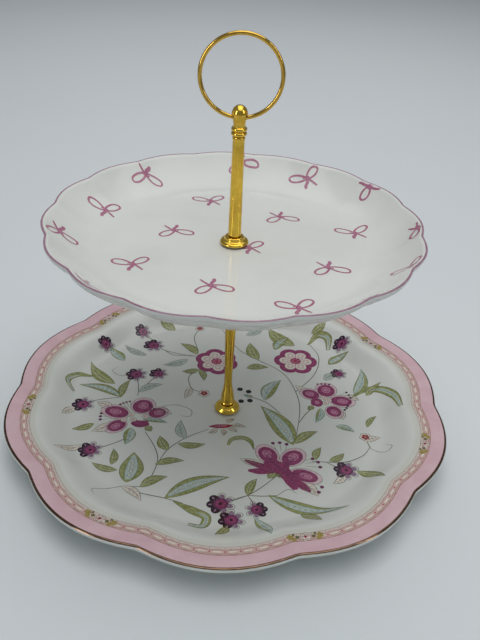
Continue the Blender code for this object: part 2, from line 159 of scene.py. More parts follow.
class Value:
    """One output in a material's node tree. Arithmetic on it adds Math nodes."""

    def __init__(self, recipe: "Recipe", link: bpy.types.NodeSocket) -> None:
        """Args: recipe: the material's recipe. link: the output that this stands for."""
        self.recipe = recipe
        self.link = link

    def _join(self, operation: str, first: Any, second: Any) -> "Value":
        """The Math node that joins two values or numbers."""
        return self.recipe.node("ShaderNodeMath", {"operation": operation}, {0: first, 1: second})

    def __add__(self, other: Any) -> "Value":
        """self + other."""
        return self._join("ADD", self, other)

    def __radd__(self, other: Any) -> "Value":
        """other + self."""
        return self._join("ADD", other, self)

    def __sub__(self, other: Any) -> "Value":
        """self - other."""
        return self._join("SUBTRACT", self, other)

    def __rsub__(self, other: Any) -> "Value":
        """other - self."""
        return self._join("SUBTRACT", other, self)

    def __mul__(self, other: Any) -> "Value":
        """self * other."""
        return self._join("MULTIPLY", self, other)

    def __rmul__(self, other: Any) -> "Value":
        """other * self."""
        return self._join("MULTIPLY", other, self)

    def between(self, low: float, high: float) -> "Value":
        """0 where this is below low and 1 where it is above high, with a smooth rise between."""
        settings = {"interpolation_type": "SMOOTHSTEP"}
        inputs = {"Value": self, "From Min": low, "From Max": high}
        return self.recipe.node("ShaderNodeMapRange", settings, inputs)


class Recipe:
    """A material's node tree, put together one node at a time."""

    def __init__(self, name: str) -> None:
        """Args: name: the material's name."""
        self.material = bpy.data.materials.new(name)
        self.material.use_nodes = True
        self.tree = self.material.node_tree
        self.tree.nodes.clear()

    def node(self, kind: str, settings: dict[str, Any], inputs: dict[Any, Any], output: Any = 0) -> Value:
        """Adds a node.

        Args:
            kind: the node's type.
            settings: its settings, set first.
            inputs: its sockets by name or number, each a number, a colour or another node's output.
            output: the output to return, by name or number.

        Returns:
            That output.
        """
        added = self.tree.nodes.new(kind)
        for key, setting in settings.items():
            setattr(added, key, setting)
        for key, value in inputs.items():
            if isinstance(value, Value):
                self.tree.links.new(value.link, added.inputs[key])
            elif isinstance(value, tuple) and len(value) == 3 and added.inputs[key].type == "RGBA":
                added.inputs[key].default_value = (*value, 1.0)
            else:
                added.inputs[key].default_value = value
        return Value(self, added.outputs[output])

    def place(self, stretch: Spot = (1.0, 1.0, 1.0)) -> Value:
        """The point's own place on the piece, in metres, with each axis stretched."""
        point = self.node("ShaderNodeTexCoord", {}, {}, "Object")
        return self.node("ShaderNodeVectorMath", {"operation": "MULTIPLY"}, {0: point, 1: stretch})

    def noise(self, cell: float, detail: float = 3.0, stretch: Spot = (1, 1, 1)) -> Value:
        """Soft noise from 0 to 1, with spots about cell metres across."""
        settings = {"noise_dimensions": "3D"}
        inputs = {"Vector": self.place(stretch), "Scale": 1.0 / cell, "Detail": detail, "Roughness": 0.55}
        return self.node("ShaderNodeTexNoise", settings, inputs, "Fac")

    def mixed(self, share: Any, first: Any, second: Any) -> Value:
        """The colour between first and second, by share."""
        settings = {"data_type": "RGBA", "blend_type": "MIX"}
        return self.node("ShaderNodeMix", settings, {0: share, 6: first, 7: second}, 2)

    def bump(self, height: Value, strength: float, distance: float) -> Value:
        """The normal that a relief of that height gives."""
        inputs = {"Height": height, "Strength": strength, "Distance": distance}
        return self.node("ShaderNodeBump", {}, inputs, "Normal")

    def surface(self, **inputs: Any) -> bpy.types.Material:
        """Ends the recipe with the shader.

        Args:
            inputs: the shader's sockets, with _ for a space.

        Returns:
            The material.
        """
        named = {key.replace("_", " "): value for key, value in inputs.items()}
        shader = self.node("ShaderNodeBsdfPrincipled", {}, named, "BSDF")
        end = self.tree.nodes.new("ShaderNodeOutputMaterial")
        self.tree.links.new(shader.link, end.inputs["Surface"])
        return self.material


GLAZE_IOR = 1.43
GLAZE_RIPPLE = (0.009, 0.12, 0.00035)  # cell, strength and height


@dataclass(frozen=True)
class GlazeFinish:
    """White glaze over stoneware, with faint pooling, pinholes, a bare, matt foot and a band of painted
    shade inside the border.
    """

    white: str = "e8e9e4"
    pooled: str = "dcdfd7"
    bare: str = "cfc7b8"
    # the colour of the painted shade inside the border, and of the pinhole specks
    shade: str = "bdb7a6"
    gloss: float = 0.11
    # how strongly the painted shade darkens the glaze inside the border
    painted_shade_edge: float = 0.0
    foot_z: float = 0.0

    def make(self, name: str) -> bpy.types.Material:
        """The material."""
        recipe = Recipe(name)
        pooling = recipe.noise(0.045, 3.0).between(0.35, 0.7)
        speck = recipe.noise(0.0011, 1.0).between(0.76, 0.82)
        # painted shade: a band of darker glaze just inside the border, standing in for the shade where the
        # well curves down
        rim = recipe.node("ShaderNodeAttribute", {"attribute_name": "painted_rim_shade"}, {}, "Fac")
        height = recipe.node("ShaderNodeSeparateXYZ", {}, {"Vector": recipe.place()}, "Z")
        bare = 1.0 - height.between(self.foot_z + 0.0005, self.foot_z + 0.0009)
        colour = recipe.mixed(pooling * 0.6, linear(self.white), linear(self.pooled))
        colour = recipe.mixed(rim * self.painted_shade_edge, colour, linear(self.shade))
        colour = recipe.mixed(speck * 0.25, colour, linear(self.shade))
        colour = recipe.mixed(bare, colour, linear(self.bare))
        streaks = recipe.noise(0.018, 4.0)
        cell, strength, relief = GLAZE_RIPPLE
        ripple = recipe.noise(cell, 2.0)
        grit = recipe.noise(0.0004, 2.0) * bare
        return recipe.surface(
            Base_Color=colour,
            Roughness=self.gloss + streaks * 0.05 + bare * 0.65,
            IOR=GLAZE_IOR,
            Normal=recipe.bump(ripple + grit * 0.3, strength, relief),
        )


@dataclass(frozen=True)
class InkFinish:
    """A printed colour under the glaze, washed lighter and darker as a brush leaves it."""

    colour: str
    deep: str
    cell: float = 0.0035
    contrast: float = 0.75
    metal: float = 0.0
    gloss: float = 0.11

    def make(self, name: str) -> bpy.types.Material:
        """The material."""
        recipe = Recipe(name)
        wash = recipe.noise(self.cell, 3.0).between(0.36, 0.66)
        grain = recipe.noise(self.cell * 0.18, 2.0).between(0.4, 0.8)
        colour = recipe.mixed(wash * self.contrast, linear(self.colour), linear(self.deep))
        colour = recipe.mixed(grain * 0.22, colour, linear(self.deep))
        cell, strength, relief = GLAZE_RIPPLE
        return recipe.surface(
            Base_Color=colour,
            Metallic=self.metal,
            Roughness=self.gloss + grain * 0.06,
            IOR=GLAZE_IOR,
            Normal=recipe.bump(recipe.noise(cell, 2.0), strength, relief),
        )


@dataclass(frozen=True)
class MetalFinish:
    """Plated metal with turning marks round it, finger smudges and slightly worn highs."""

    bright: str
    deep: str
    gloss: float = 0.13
    smudge: float = 0.10
    marks: float = 0.10
    stretch: Spot = (0.03, 0.03, 1.0)

    def make(self, name: str) -> bpy.types.Material:
        """The material."""
        recipe = Recipe(name)
        smudges = recipe.noise(0.006, 4.0).between(0.42, 0.72)
        age = recipe.noise(0.0022, 3.0).between(0.45, 0.75)
        lines = recipe.noise(0.00016, 2.0, self.stretch)
        pits = recipe.noise(0.0005, 1.0).between(0.74, 0.8)
        colour = recipe.mixed(smudges * 0.35 + age * 0.2, linear(self.bright), linear(self.deep))
        colour = recipe.mixed(pits * 0.5, colour, linear(self.deep))
        return recipe.surface(
            Base_Color=colour,
            Metallic=1.0,
            Roughness=self.gloss + smudges * self.smudge + lines * 0.05,
            Normal=recipe.bump(lines - pits * 0.5, self.marks, 0.00002),
        )


@dataclass(frozen=True)
class RubberFinish:
    """Soft grey-white washer rubber with a fine moulded grain and dust."""

    colour: str = "a9a9a2"
    dusty: str = "c6c5bd"

    def make(self, name: str) -> bpy.types.Material:
        """The material."""
        recipe = Recipe(name)
        dust = recipe.noise(0.0016, 4.0).between(0.45, 0.7)
        grain = recipe.noise(0.0002, 2.0)
        return recipe.surface(
            Base_Color=recipe.mixed(dust * 0.6, linear(self.colour), linear(self.dusty)),
            Roughness=0.5 + dust * 0.2,
            Subsurface_Weight=0.08,
            Normal=recipe.bump(grain, 0.2, 0.00003),
        )


@dataclass(frozen=True)
class FloorFinish:
    """A plain pale studio floor, very slightly uneven."""

    colour: str = "e4e8ea"
    uneven: str = "dfe4e6"

    def make(self, name: str) -> bpy.types.Material:
        """The material."""
        recipe = Recipe(name)
        drift = recipe.noise(0.5, 2.0).between(0.3, 0.7)
        return recipe.surface(
            Base_Color=recipe.mixed(drift, linear(self.colour), linear(self.uneven)),
            Roughness=0.55 + drift * 0.1,
        )


GOLD = MetalFinish("e5bf4e", "b1852a", gloss=0.09, smudge=0.12)
GOLD_WIRE = MetalFinish("d6ae50", "8f6b26", gloss=0.09, marks=0.05, stretch=(1.0, 1.0, 1.0))
STEEL = MetalFinish("cbc6b8", "a19a88", gloss=0.22)
RUBBER = RubberFinish()


# ---------------------------------------------------------------------------------------------
# Meshes
# ---------------------------------------------------------------------------------------------


def new_piece(
    name: str,
    points: np.ndarray,
    faces: Sequence[Sequence[int]],
    material: bpy.types.Material,
    normals: np.ndarray | None = None,
    crease: float = 40.0,
) -> bpy.types.Object:
    """Makes an object in the scene.

    Args:
        name: the piece's name.
        points: its vertices, in metres, in the frame of the whole stand.
        faces: each face's vertices.
        material: its material.
        normals: the shading direction at each vertex, or None for the mesh's own.
        crease: the angle in degrees from which an edge is sharp, where normals is None.

    Returns:
        The object.
    """
    mesh = bpy.data.meshes.new(name)
    mesh.from_pydata(points.tolist(), [], faces)
    mesh.validate()
    mesh.materials.append(material)
    mesh.shade_smooth()
    if normals is None:
        mesh.set_sharp_from_angle(angle=math.radians(crease))
    else:
        mesh.normals_split_custom_set_from_vertices(normals.tolist())
    piece = bpy.data.objects.new(name, mesh)
    bpy.context.scene.collection.objects.link(piece)
    return piece


def fit(piece: bpy.types.Object, body: str, slot: str, *nodes: str) -> bpy.types.Object:
    """Puts a finished piece on its body, in place of its plain nodes."""
    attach(piece, body)
    if nodes:
        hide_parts(*nodes)
    LOG.info("%s: %d faces on %s", piece.name, len(piece.data.polygons), body)
    return piece


def quads(rows: int, columns: int, wrap_rows: bool, wrap_columns: bool) -> list[Face]:
    """The faces of a grid of points that is numbered row by row."""
    faces = []
    for i in range(rows if wrap_rows else rows - 1):
        for j in range(columns if wrap_columns else columns - 1):
            here, right = i * columns + j, i * columns + (j + 1) % columns
            up = (i + 1) % rows * columns
            faces.append((here, right, up + (j + 1) % columns, up + j))
    return faces


@dataclass(frozen=True)
class Thread:
    """A screw thread: its pitch and depth, and the heights between which it is cut."""

    low: float
    high: float
    pitch: float = 0.0007
    depth: float = 0.00040
    start: float = 0.0009

    def cut(self, radius: np.ndarray, z: np.ndarray, angle: np.ndarray) -> np.ndarray:
        """The radius after the thread is cut."""
        phase = (z / self.pitch - angle / (2 * math.pi)) % 1.0
        groove = np.clip(1.25 * (1 - np.abs(2 * phase - 1)) - 0.125, 0.0, 1.0)
        run = smoothstep((z - self.low) / self.start) * smoothstep((self.high - z) / self.start)
        return radius - self.depth * groove * run


def turned(
    outline: Sequence[Point],
    base_z: float,
    steps: int = 96,
    closed: bool = False,
    thread: Thread | None = None,
) -> tuple[np.ndarray, list[Face]]:
    """A turned shape.

    Args:
        outline: (radius, height) from the top on the axis, or round a bore, outwards and down.
        base_z: the height of the outline's zero.
        steps: the points round the axis.
        closed: whether the outline runs on from its last point to its first, round a bore.
        thread: the thread to cut into it.

    Returns:
        The points and the faces.
    """
    rings = [p for p in outline if closed or p[0] > 1e-7]
    radius = np.array([p[0] for p in rings])[:, None]
    z = np.array([p[1] for p in rings])[:, None] + base_z
    angle = (np.arange(steps) * 2 * math.pi / steps)[None, :]
    radius = radius + 0 * angle
    if thread:
        radius = thread.cut(radius, z, angle)
    points = np.stack([radius * np.cos(angle), radius * np.sin(angle), z + 0 * angle], 2).reshape(-1, 3)
    faces = [tuple(reversed(face)) for face in quads(len(rings), steps, closed, True)]
    if not closed:
        last = (len(rings) - 1) * steps
        top, bottom = len(points), len(points) + 1
        poles = [(0.0, 0.0, base_z + outline[0][1]), (0.0, 0.0, base_z + outline[-1][1])]
        points = np.vstack([points, poles])
        faces += [(top, i, (i + 1) % steps) for i in range(steps)]
        faces += [(bottom, last + (i + 1) % steps, last + i) for i in range(steps)]
    return points, faces


def cut_away(piece: bpy.types.Object, cutter: bpy.types.Object, crease: float = 40.0) -> None:
    """Cuts cutter's shape out of a piece, and removes cutter."""
    modifier = piece.modifiers.new("Cut", "BOOLEAN")
    modifier.object = cutter
    modifier.solver = "EXACT"
    evaluated = piece.evaluated_get(bpy.context.evaluated_depsgraph_get())
    mesh = bpy.data.meshes.new_from_object(evaluated)
    piece.modifiers.remove(modifier)
    piece.data = mesh
    mesh.shade_smooth()
    mesh.set_sharp_from_angle(angle=math.radians(crease))
    bpy.data.objects.remove(cutter)


# ---------------------------------------------------------------------------------------------
# Plates
# ---------------------------------------------------------------------------------------------


@dataclass(frozen=True)
class PlateForm:
    """A round plate with a scalloped rim: its sizes, and the surface that they make."""

    node: str
    lobes: int
    turn: float
    scallop: float
    thickness: float
    depth: float
    rim_wall: float
    flange_width: float
    flange_rise: float
    wall_run: float
    crest: float
    foot_radius: float
    foot_height: float
    foot_width: float = 0.0042
    hole: float = 0.0035
    # how far inside the rim the band of painted shade lies
    painted_shade_inside: float = 0.0160

    @property
    def radius(self) -> float:
        """From the axis to the crown of a lobe."""
        return max(v.co.xy.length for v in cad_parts[self.node].data.vertices)

    @property
    def rim_z(self) -> float:
        """The height of the rim's top."""
        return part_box(self.node)[1].z

    @property
    def floor_z(self) -> float:
        """The height of the flat floor inside."""
        return self.rim_z - self.depth

    @property
    def edge(self) -> float:
        """The radius of the rounding at the rim's top."""
        return self.rim_wall * 0.3

    def lobe(self, angle: np.ndarray) -> np.ndarray:
        """1 at the crown of a lobe and 0 in a slightly rounded notch."""
        rounding = 0.06
        wave = np.hypot(np.sin(self.lobes * (angle - self.turn) / 2), rounding) - rounding
        return wave / (math.hypot(1.0, rounding) - rounding)

    def drawn_in(self, plain: np.ndarray, angle: np.ndarray, radius: float) -> np.ndarray:
        """How far a point that was turned at the radius plain moves in between the lobes."""
        outer = radius - self.rim_wall - self.flange_width
        share = smoothstep((plain - outer + self.wall_run) / self.wall_run)
        return self.scallop * share * (1 - self.lobe(angle))

    def rise(self, plain: np.ndarray, radius: float) -> np.ndarray:
        """The upper face's height over the floor, by the radius at which it was turned."""
        brim = radius - self.edge
        flange = brim - self.flange_width
        flange_up = self.depth - self.flange_rise
        t = np.clip((plain - flange + self.wall_run) / self.wall_run, 0.0, 1.0)
        wall = flange_up * (t * t + self.crest * (smoothstep(t) - t * t))
        out = np.clip((plain - flange) / self.flange_width, 0.0, 1.0)
        over = np.clip((plain - brim) / self.edge, 0.0, 1.0)
        return wall + self.flange_rise * out**1.32 - self.edge * (1 - np.sqrt(1 - over * over))

    def at(self, plain: np.ndarray, angle: np.ndarray) -> np.ndarray:
        """The place from above of a point that was turned at the radius plain."""
        actual = plain - self.drawn_in(plain, angle, self.radius)
        return np.stack([actual * np.cos(angle), actual * np.sin(angle)], -1)

    def plain_radius(self, place: np.ndarray, radius: float) -> np.ndarray:
        """The radius at which the point now at that place was turned."""
        actual = np.hypot(place[..., 0], place[..., 1])
        angle = np.arctan2(place[..., 1], place[..., 0])
        plain = actual
        for _ in range(8):
            plain = actual + self.drawn_in(plain, angle, radius)
        return plain

    def lay(self, place: np.ndarray, lift: np.ndarray) -> tuple[np.ndarray, np.ndarray]:
        """Lays points on the upper face.

        Args:
            place: their places from above, one row each, in metres.
            lift: how far each stands off the face.

        Returns:
            The points, and the face's direction at each.
        """
        radius = self.radius
        limit = radius - 0.15 * self.edge

        def height(spot: np.ndarray) -> np.ndarray:
            """The face's height over the floor at places from above."""
            return self.rise(np.minimum(self.plain_radius(spot, radius), limit), radius)

        step = 0.00005
        slope_x = (height(place + (step, 0)) - height(place - (step, 0))) / (2 * step)
        slope_y = (height(place + (0, step)) - height(place - (0, step))) / (2 * step)
        normal = np.stack([-slope_x, -slope_y, np.ones(len(place))], 1)
        normal /= np.linalg.norm(normal, axis=1)[:, None]
        flat = np.column_stack([place, self.floor_z + height(place)])
        return flat + normal * lift[:, None], normal

    def section(self) -> list[Point]:
        """The closed outline: hole, floor, wall, rim, underside and foot, from the plate's foot up."""
        radius, wall = self.radius, self.rim_wall
        foot_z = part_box(self.node)[0].z
        under_z = foot_z + self.foot_height
        brim = radius - self.edge
        inner = brim - self.flange_width - self.wall_run
        plain = np.concatenate([
            np.linspace(self.hole + 0.0006, inner, 8)[:-1],
            np.linspace(inner, brim - self.flange_width, 30)[:-1],
            np.linspace(brim - self.flange_width, brim, 9)[:-1],
            brim + self.edge * np.sin(np.linspace(0, math.pi / 2, 8)),
        ])
        top = np.column_stack([plain, self.floor_z + self.rise(plain, radius)])
        body = top[(plain >= inner) & (plain <= brim)]
        along = np.gradient(body, axis=0)
        along /= np.linalg.norm(along, axis=1)[:, None]
        depth = self.thickness + (wall - self.thickness) * np.linspace(0, 1, len(body))
        under = body + np.column_stack([along[:, 1], -along[:, 0]]) * depth[:, None]
        foot_out, foot_in = self.foot_radius, self.foot_radius - self.foot_width
        draft = self.foot_height * 0.15
        keep = (under[:, 0] > foot_out + self.foot_width) & (under[:, 0] < radius - wall * 0.35)
        coarse = [(radius - wall * 0.02, self.rim_z - wall * 0.45)]
        coarse += [(radius - wall * 0.10, self.rim_z - wall * 0.75)]
        coarse += [tuple(p) for p in under[keep][::-1]]
        coarse += [(foot_out + draft * 2, under_z), (foot_out, foot_z), (foot_in, foot_z)]
        coarse += [(foot_in - draft * 2, under_z), (self.hole + 0.0012, under_z)]
        coarse += [(self.hole, under_z + 0.0008), (self.hole, self.floor_z - 0.0006)]
        return [tuple(p) for p in top] + softened(coarse, 0.0012)

    def mesh(self, steps: int) -> tuple[np.ndarray, list[Face], np.ndarray]:
        """The plate's points, its faces, and how much painted shade the glaze gets at each point, in a band
        inside the border.
        """
        outline = self.section()
        points, faces = turned(outline, 0.0, steps, closed=True)
        plain = np.hypot(points[:, 0], points[:, 1])
        angle = np.arctan2(points[:, 1], points[:, 0])
        points[:, :2] *= (1 - self.drawn_in(plain, angle, self.radius) / plain)[:, None]
        # painted shade: a band by the radius at which each point was turned, so the underside gets it too
        inner = self.radius - self.painted_shade_inside
        rising = smoothstep((plain - inner + 0.0028) / 0.0028)
        falling = smoothstep((inner + 0.004 - plain) / 0.001)
        return points, faces, rising * falling


# ---------------------------------------------------------------------------------------------
# Prints
# ---------------------------------------------------------------------------------------------


class Ink(Enum):
    """The printed colours."""

    BORDER = "border_pink"
    SAND = "border_sand"
    PEACH = "border_peach"
    CREAM = "cream"
    BLUSH = "blush"
    LILAC = "lilac"
    BROWN = "border_brown"
    LUSTRE = "rim_lustre"
    MAGENTA = "magenta"
    PINK = "pink"
    PLUM = "plum"
    NIGHT = "night_plum"
    RED = "red"
    LEAF = "leaf_green"
    SAGE = "leaf_pale_green"
    OLIVE = "olive"
    MIST = "blue_mist"
    TEAL = "teal_grey"
    LINE = "line"
    BLACK = "berry_black"
    OCHRE = "ochre"
    BOW = "bow_rose"
    RIM_ROSE = "rim_rose"


INKS = {
    Ink.BORDER: InkFinish("e2c1c8", "d8b0b9", 0.012, 0.6),
    Ink.SAND: InkFinish("ddd0c8", "cfc0b7", 0.003, 0.7),
    Ink.PEACH: InkFinish("ddbdb8", "cfa8a3", 0.0016, 0.8),
    Ink.CREAM: InkFinish("ece3d8", "dfd3c6", 0.003, 0.5),
    Ink.BLUSH: InkFinish("e6cfd4", "d9b4bf", 0.0016, 0.8),
    Ink.LILAC: InkFinish("a58aa0", "7d5f78", 0.0014, 0.8),
    Ink.BROWN: InkFinish("b08d7c", "8f6a5a", 0.002, 0.7),
    Ink.LUSTRE: InkFinish("7d6250", "54402f", 0.004, 0.6, metal=0.85, gloss=0.10),
    Ink.MAGENTA: InkFinish("a54b78", "85345c", 0.0016, 0.9),
    Ink.PINK: InkFinish("cf93ac", "b2608a", 0.0012, 0.9),
    Ink.PLUM: InkFinish("82446b", "5c2a4b", 0.0018, 0.8),
    Ink.NIGHT: InkFinish("43283b", "241420", 0.0016, 0.8),
    Ink.RED: InkFinish("b3405a", "8c2743", 0.0014, 0.8),
    Ink.LEAF: InkFinish("abad72", "8a9050", 0.0022, 0.85),
    Ink.SAGE: InkFinish("c6c8a0", "a9ae7e", 0.0014, 0.85),
    Ink.OLIVE: InkFinish("76794f", "595c3a", 0.0022, 0.7),
    Ink.MIST: InkFinish("cdd6cf", "b0c0b9", 0.0016, 0.8),
    Ink.TEAL: InkFinish("7f9c95", "5d7c77", 0.0018, 0.7),
    Ink.LINE: InkFinish("81806c", "5f5d4d", 0.003, 0.7),
    Ink.BLACK: InkFinish("2b292b", "171518", 0.001, 0.6),
    Ink.OCHRE: InkFinish("b2a05c", "8d7c42", 0.0014, 0.8),
    Ink.BOW: InkFinish("bd7f97", "a4637f", 0.0018, 0.8),
    Ink.RIM_ROSE: InkFinish("b0899a", "946b80", 0.004, 0.7),
}


class Leaf(Enum):
    """The ways to fill a leaf."""

    GREEN = "green"
    BLUE = "blue"
    PALE = "pale"
    FANCY = "fancy"
    BARE = "bare"


LEAF_INKS = {
    Leaf.GREEN: (Ink.LEAF, Ink.SAGE, Ink.OLIVE),
    Leaf.BLUE: (Ink.LEAF, Ink.MIST, Ink.TEAL),
    Leaf.PALE: (Ink.MIST, Ink.MIST, Ink.LINE),
    Leaf.FANCY: (Ink.LEAF, Ink.MIST, Ink.OLIVE),
    Leaf.BARE: (Ink.CREAM, Ink.CREAM, Ink.LINE),
}
LINKS = 100
POSIES = 7


@dataclass
class Layer:
    """What one ink prints: places from above in millimetres, levels over the glaze, and faces."""

    places: list[np.ndarray] = field(default_factory=list)
    levels: list[np.ndarray] = field(default_factory=list)
    faces: list[Face] = field(default_factory=list)
    count: int = 0


@dataclass
class Print:
    """A plate's printed decoration, drawn in millimetres as seen from above.

    Each level lies a little higher than the one below it. Shapes of one level are stepped by less than that,
    so that no two of them lie in the same plane.
    """

    form: PlateForm
    reach: float
    step: float = 1.1
    film: float = 0.030
    level_height: float = 0.012
    stepping: float = 0.04
    steppings: int = 17
    round_steps: int = 600
    layers: dict[Ink, Layer] = field(default_factory=dict)
    drawn: int = 0

    def add(self, ink: Ink, places: np.ndarray, faces: list[Face], level: float) -> None:
        """Adds a shape to an ink's layer, with its faces turned up and those past the rim left out."""
        layer = self.layers.setdefault(ink, Layer())
        first = np.array([places[i] for i in faces[len(faces) // 2][:3]])
        ahead, aside = first[1] - first[0], first[2] - first[0]
        if ahead[0] * aside[1] - ahead[1] * aside[0] < 0:
            faces = [tuple(reversed(face)) for face in faces]
        inside = self.form.plain_radius(places * MM, self.form.radius) < self.reach * MM
        faces = [face for face in faces if all(inside[i] for i in face)]
        if not faces:
            return
        used = sorted({i for face in faces for i in face})
        number = {old: new + layer.count for new, old in enumerate(used)}
        self.drawn += 1
        layer.places.append(places[used])
        stepped = self.stepping * (self.drawn % self.steppings) / self.steppings
        layer.levels.append(np.full(len(used), level + stepped))
        layer.faces += [tuple(number[i] for i in face) for face in faces]
        layer.count += len(used)

    def strip(
        self, ink: Ink, left: np.ndarray, right: np.ndarray, level: float, closed: bool = False
    ) -> None:
        """Fills between two edges that run side by side."""
        width = float(np.linalg.norm(left - right, axis=1).max())
        columns = max(2, math.ceil(width / self.step) + 1)
        share = np.linspace(0, 1, columns)[None, :, None]
        places = (left[:, None] * (1 - share) + right[:, None] * share).reshape(-1, 2)
        self.add(ink, places, quads(len(left), columns, closed, False), level)

    def stroke(
        self,
        ink: Ink,
        points: Sequence[Point],
        width: float,
        level: float,
        ends: Point = (0.4, 0.4),
        closed: bool = False,
    ) -> None:
        """Draws a brush stroke.

        Args:
            ink: its colour.
            points: what it passes through.
            width: its full width.
            level: its level over the glaze.
            ends: the share of the width at its start and its end.
            closed: whether it ends where it starts.
        """
        path = flowing(points, self.step, closed)
        along = np.roll(path, -1, 0) - np.roll(path, 1, 0) if closed else np.gradient(path, axis=0)
        across = np.column_stack([-along[:, 1], along[:, 0]]) / np.linalg.norm(along, axis=1)[:, None]
        share = np.linspace(0, 1, len(path))
        swell = np.minimum(1, ends[0] + (1 - ends[0]) * share / 0.3)
        swell = np.minimum(swell, ends[1] + (1 - ends[1]) * (1 - share) / 0.3)
        half = (width / 2 * (np.ones(len(path)) if closed else swell))[:, None]
        self.strip(ink, path + across * half, path - across * half, level, closed)

    def spot(
        self,
        ink: Ink,
        centre: Point,
        radius: float,
        level: float,
        lobes: int = 0,
        waist: float = 0.0,
        turn: float = 0.0,
        stretch: float = 1.0,
        lean: float = 0.0,
    ) -> None:
        """Fills a round, lobed or oval spot.

        Args:
            ink: its colour.
            centre: its middle.
            radius: its size out to the crown of a lobe.
            level: its level over the glaze.
            lobes: how many lobes it has.
            waist: how deep the notches between the lobes are, as a share of the radius.
            turn: the angle of its first notch, in radians.
            stretch: its length over its width.
            lean: the angle of its length.
        """
        count = max(10, math.ceil(2 * math.pi * radius / 0.55), lobes * 8)
        rings = max(1, math.ceil(radius / self.step))
        angle = np.arange(count) * 2 * math.pi / count
        edge = radius * np.ones(count)
        if lobes:
            edge = radius * (1 - waist * (1 - np.abs(np.sin(lobes * (angle - turn) / 2)) ** 0.7))
        share = (np.arange(rings) + 1)[:, None] / rings
        x, y = share * edge * np.cos(angle) * stretch, share * edge * np.sin(angle)
        tilt = np.array([[math.cos(lean), math.sin(lean)], [-math.sin(lean), math.cos(lean)]])
        places = np.vstack([(0.0, 0.0), np.stack([x, y], 2).reshape(-1, 2) @ tilt]) + centre
        faces = [(0, 1 + i, 1 + (i + 1) % count) for i in range(count)]
        faces += [tuple(1 + i for i in reversed(face)) for face in quads(rings, count, False, True)]
        self.add(ink, places, faces, level)

    def loop(
        self,
        ink: Ink,
        centre: Point,
        radius: float,
        width: float,
        level: float,
        stretch: float = 1.0,
        lean: float = 0.0,
    ) -> None:
        """Draws a round or oval outline; its sizes are those of a spot."""
        angle = np.linspace(0, 2 * math.pi, 13)[:-1]
        x, y = radius * stretch * np.cos(angle), radius * np.sin(angle)
        turned_x = centre[0] + x * math.cos(lean) - y * math.sin(lean)
        turned_y = centre[1] + x * math.sin(lean) + y * math.cos(lean)
        self.stroke(ink, list(zip(turned_x, turned_y)), width, level, closed=True)

    def band(
        self, ink: Ink, inner: float, outer: float, level: float, columns: int = 0, wave: float = 0.0
    ) -> None:
        """Draws a band round the border, between two radii at which the plate was turned.

        Args:
            ink: its colour.
            inner: the smaller radius.
            outer: the larger radius.
            level: its level over the glaze.
            columns: the points across it, or 0 to choose them by its width.
            wave: how far its edges swing in and out with the border's links.
        """
        angle = np.arange(self.round_steps) * 2 * math.pi / self.round_steps
        sway = wave * np.cos(angle * LINKS)
        columns = columns or max(2, math.ceil((outer - inner) / self.step) + 1)
        across = [inner + sway + (outer - inner) * i / (columns - 1) for i in range(columns)]
        rows = [self.form.at(plain * MM, angle) / MM for plain in across]
        self.add(ink, np.stack(rows, 1).reshape(-1, 2), quads(self.round_steps, columns, True, False), level)

    def on_border(self, plain: float, degrees: float) -> Point:
        """The place of a point of the border."""
        spot = self.form.at(np.array(plain * MM), np.array(math.radians(degrees))) / MM
        return (float(spot[0]), float(spot[1]))

    def make(self, body: str, slot: str) -> None:
        """Lays every ink on the plate as a thin mesh that rides with it."""
        for ink, layer in self.layers.items():
            lift = (self.film + self.level_height * np.concatenate(layer.levels)) * MM
            points, normals = self.form.lay(np.vstack(layer.places) * MM, lift)
            name = f"{self.form.node}_{ink.value}"
            fit(new_piece(name, points, layer.faces, INKS[ink].make(name), normals), body, slot)


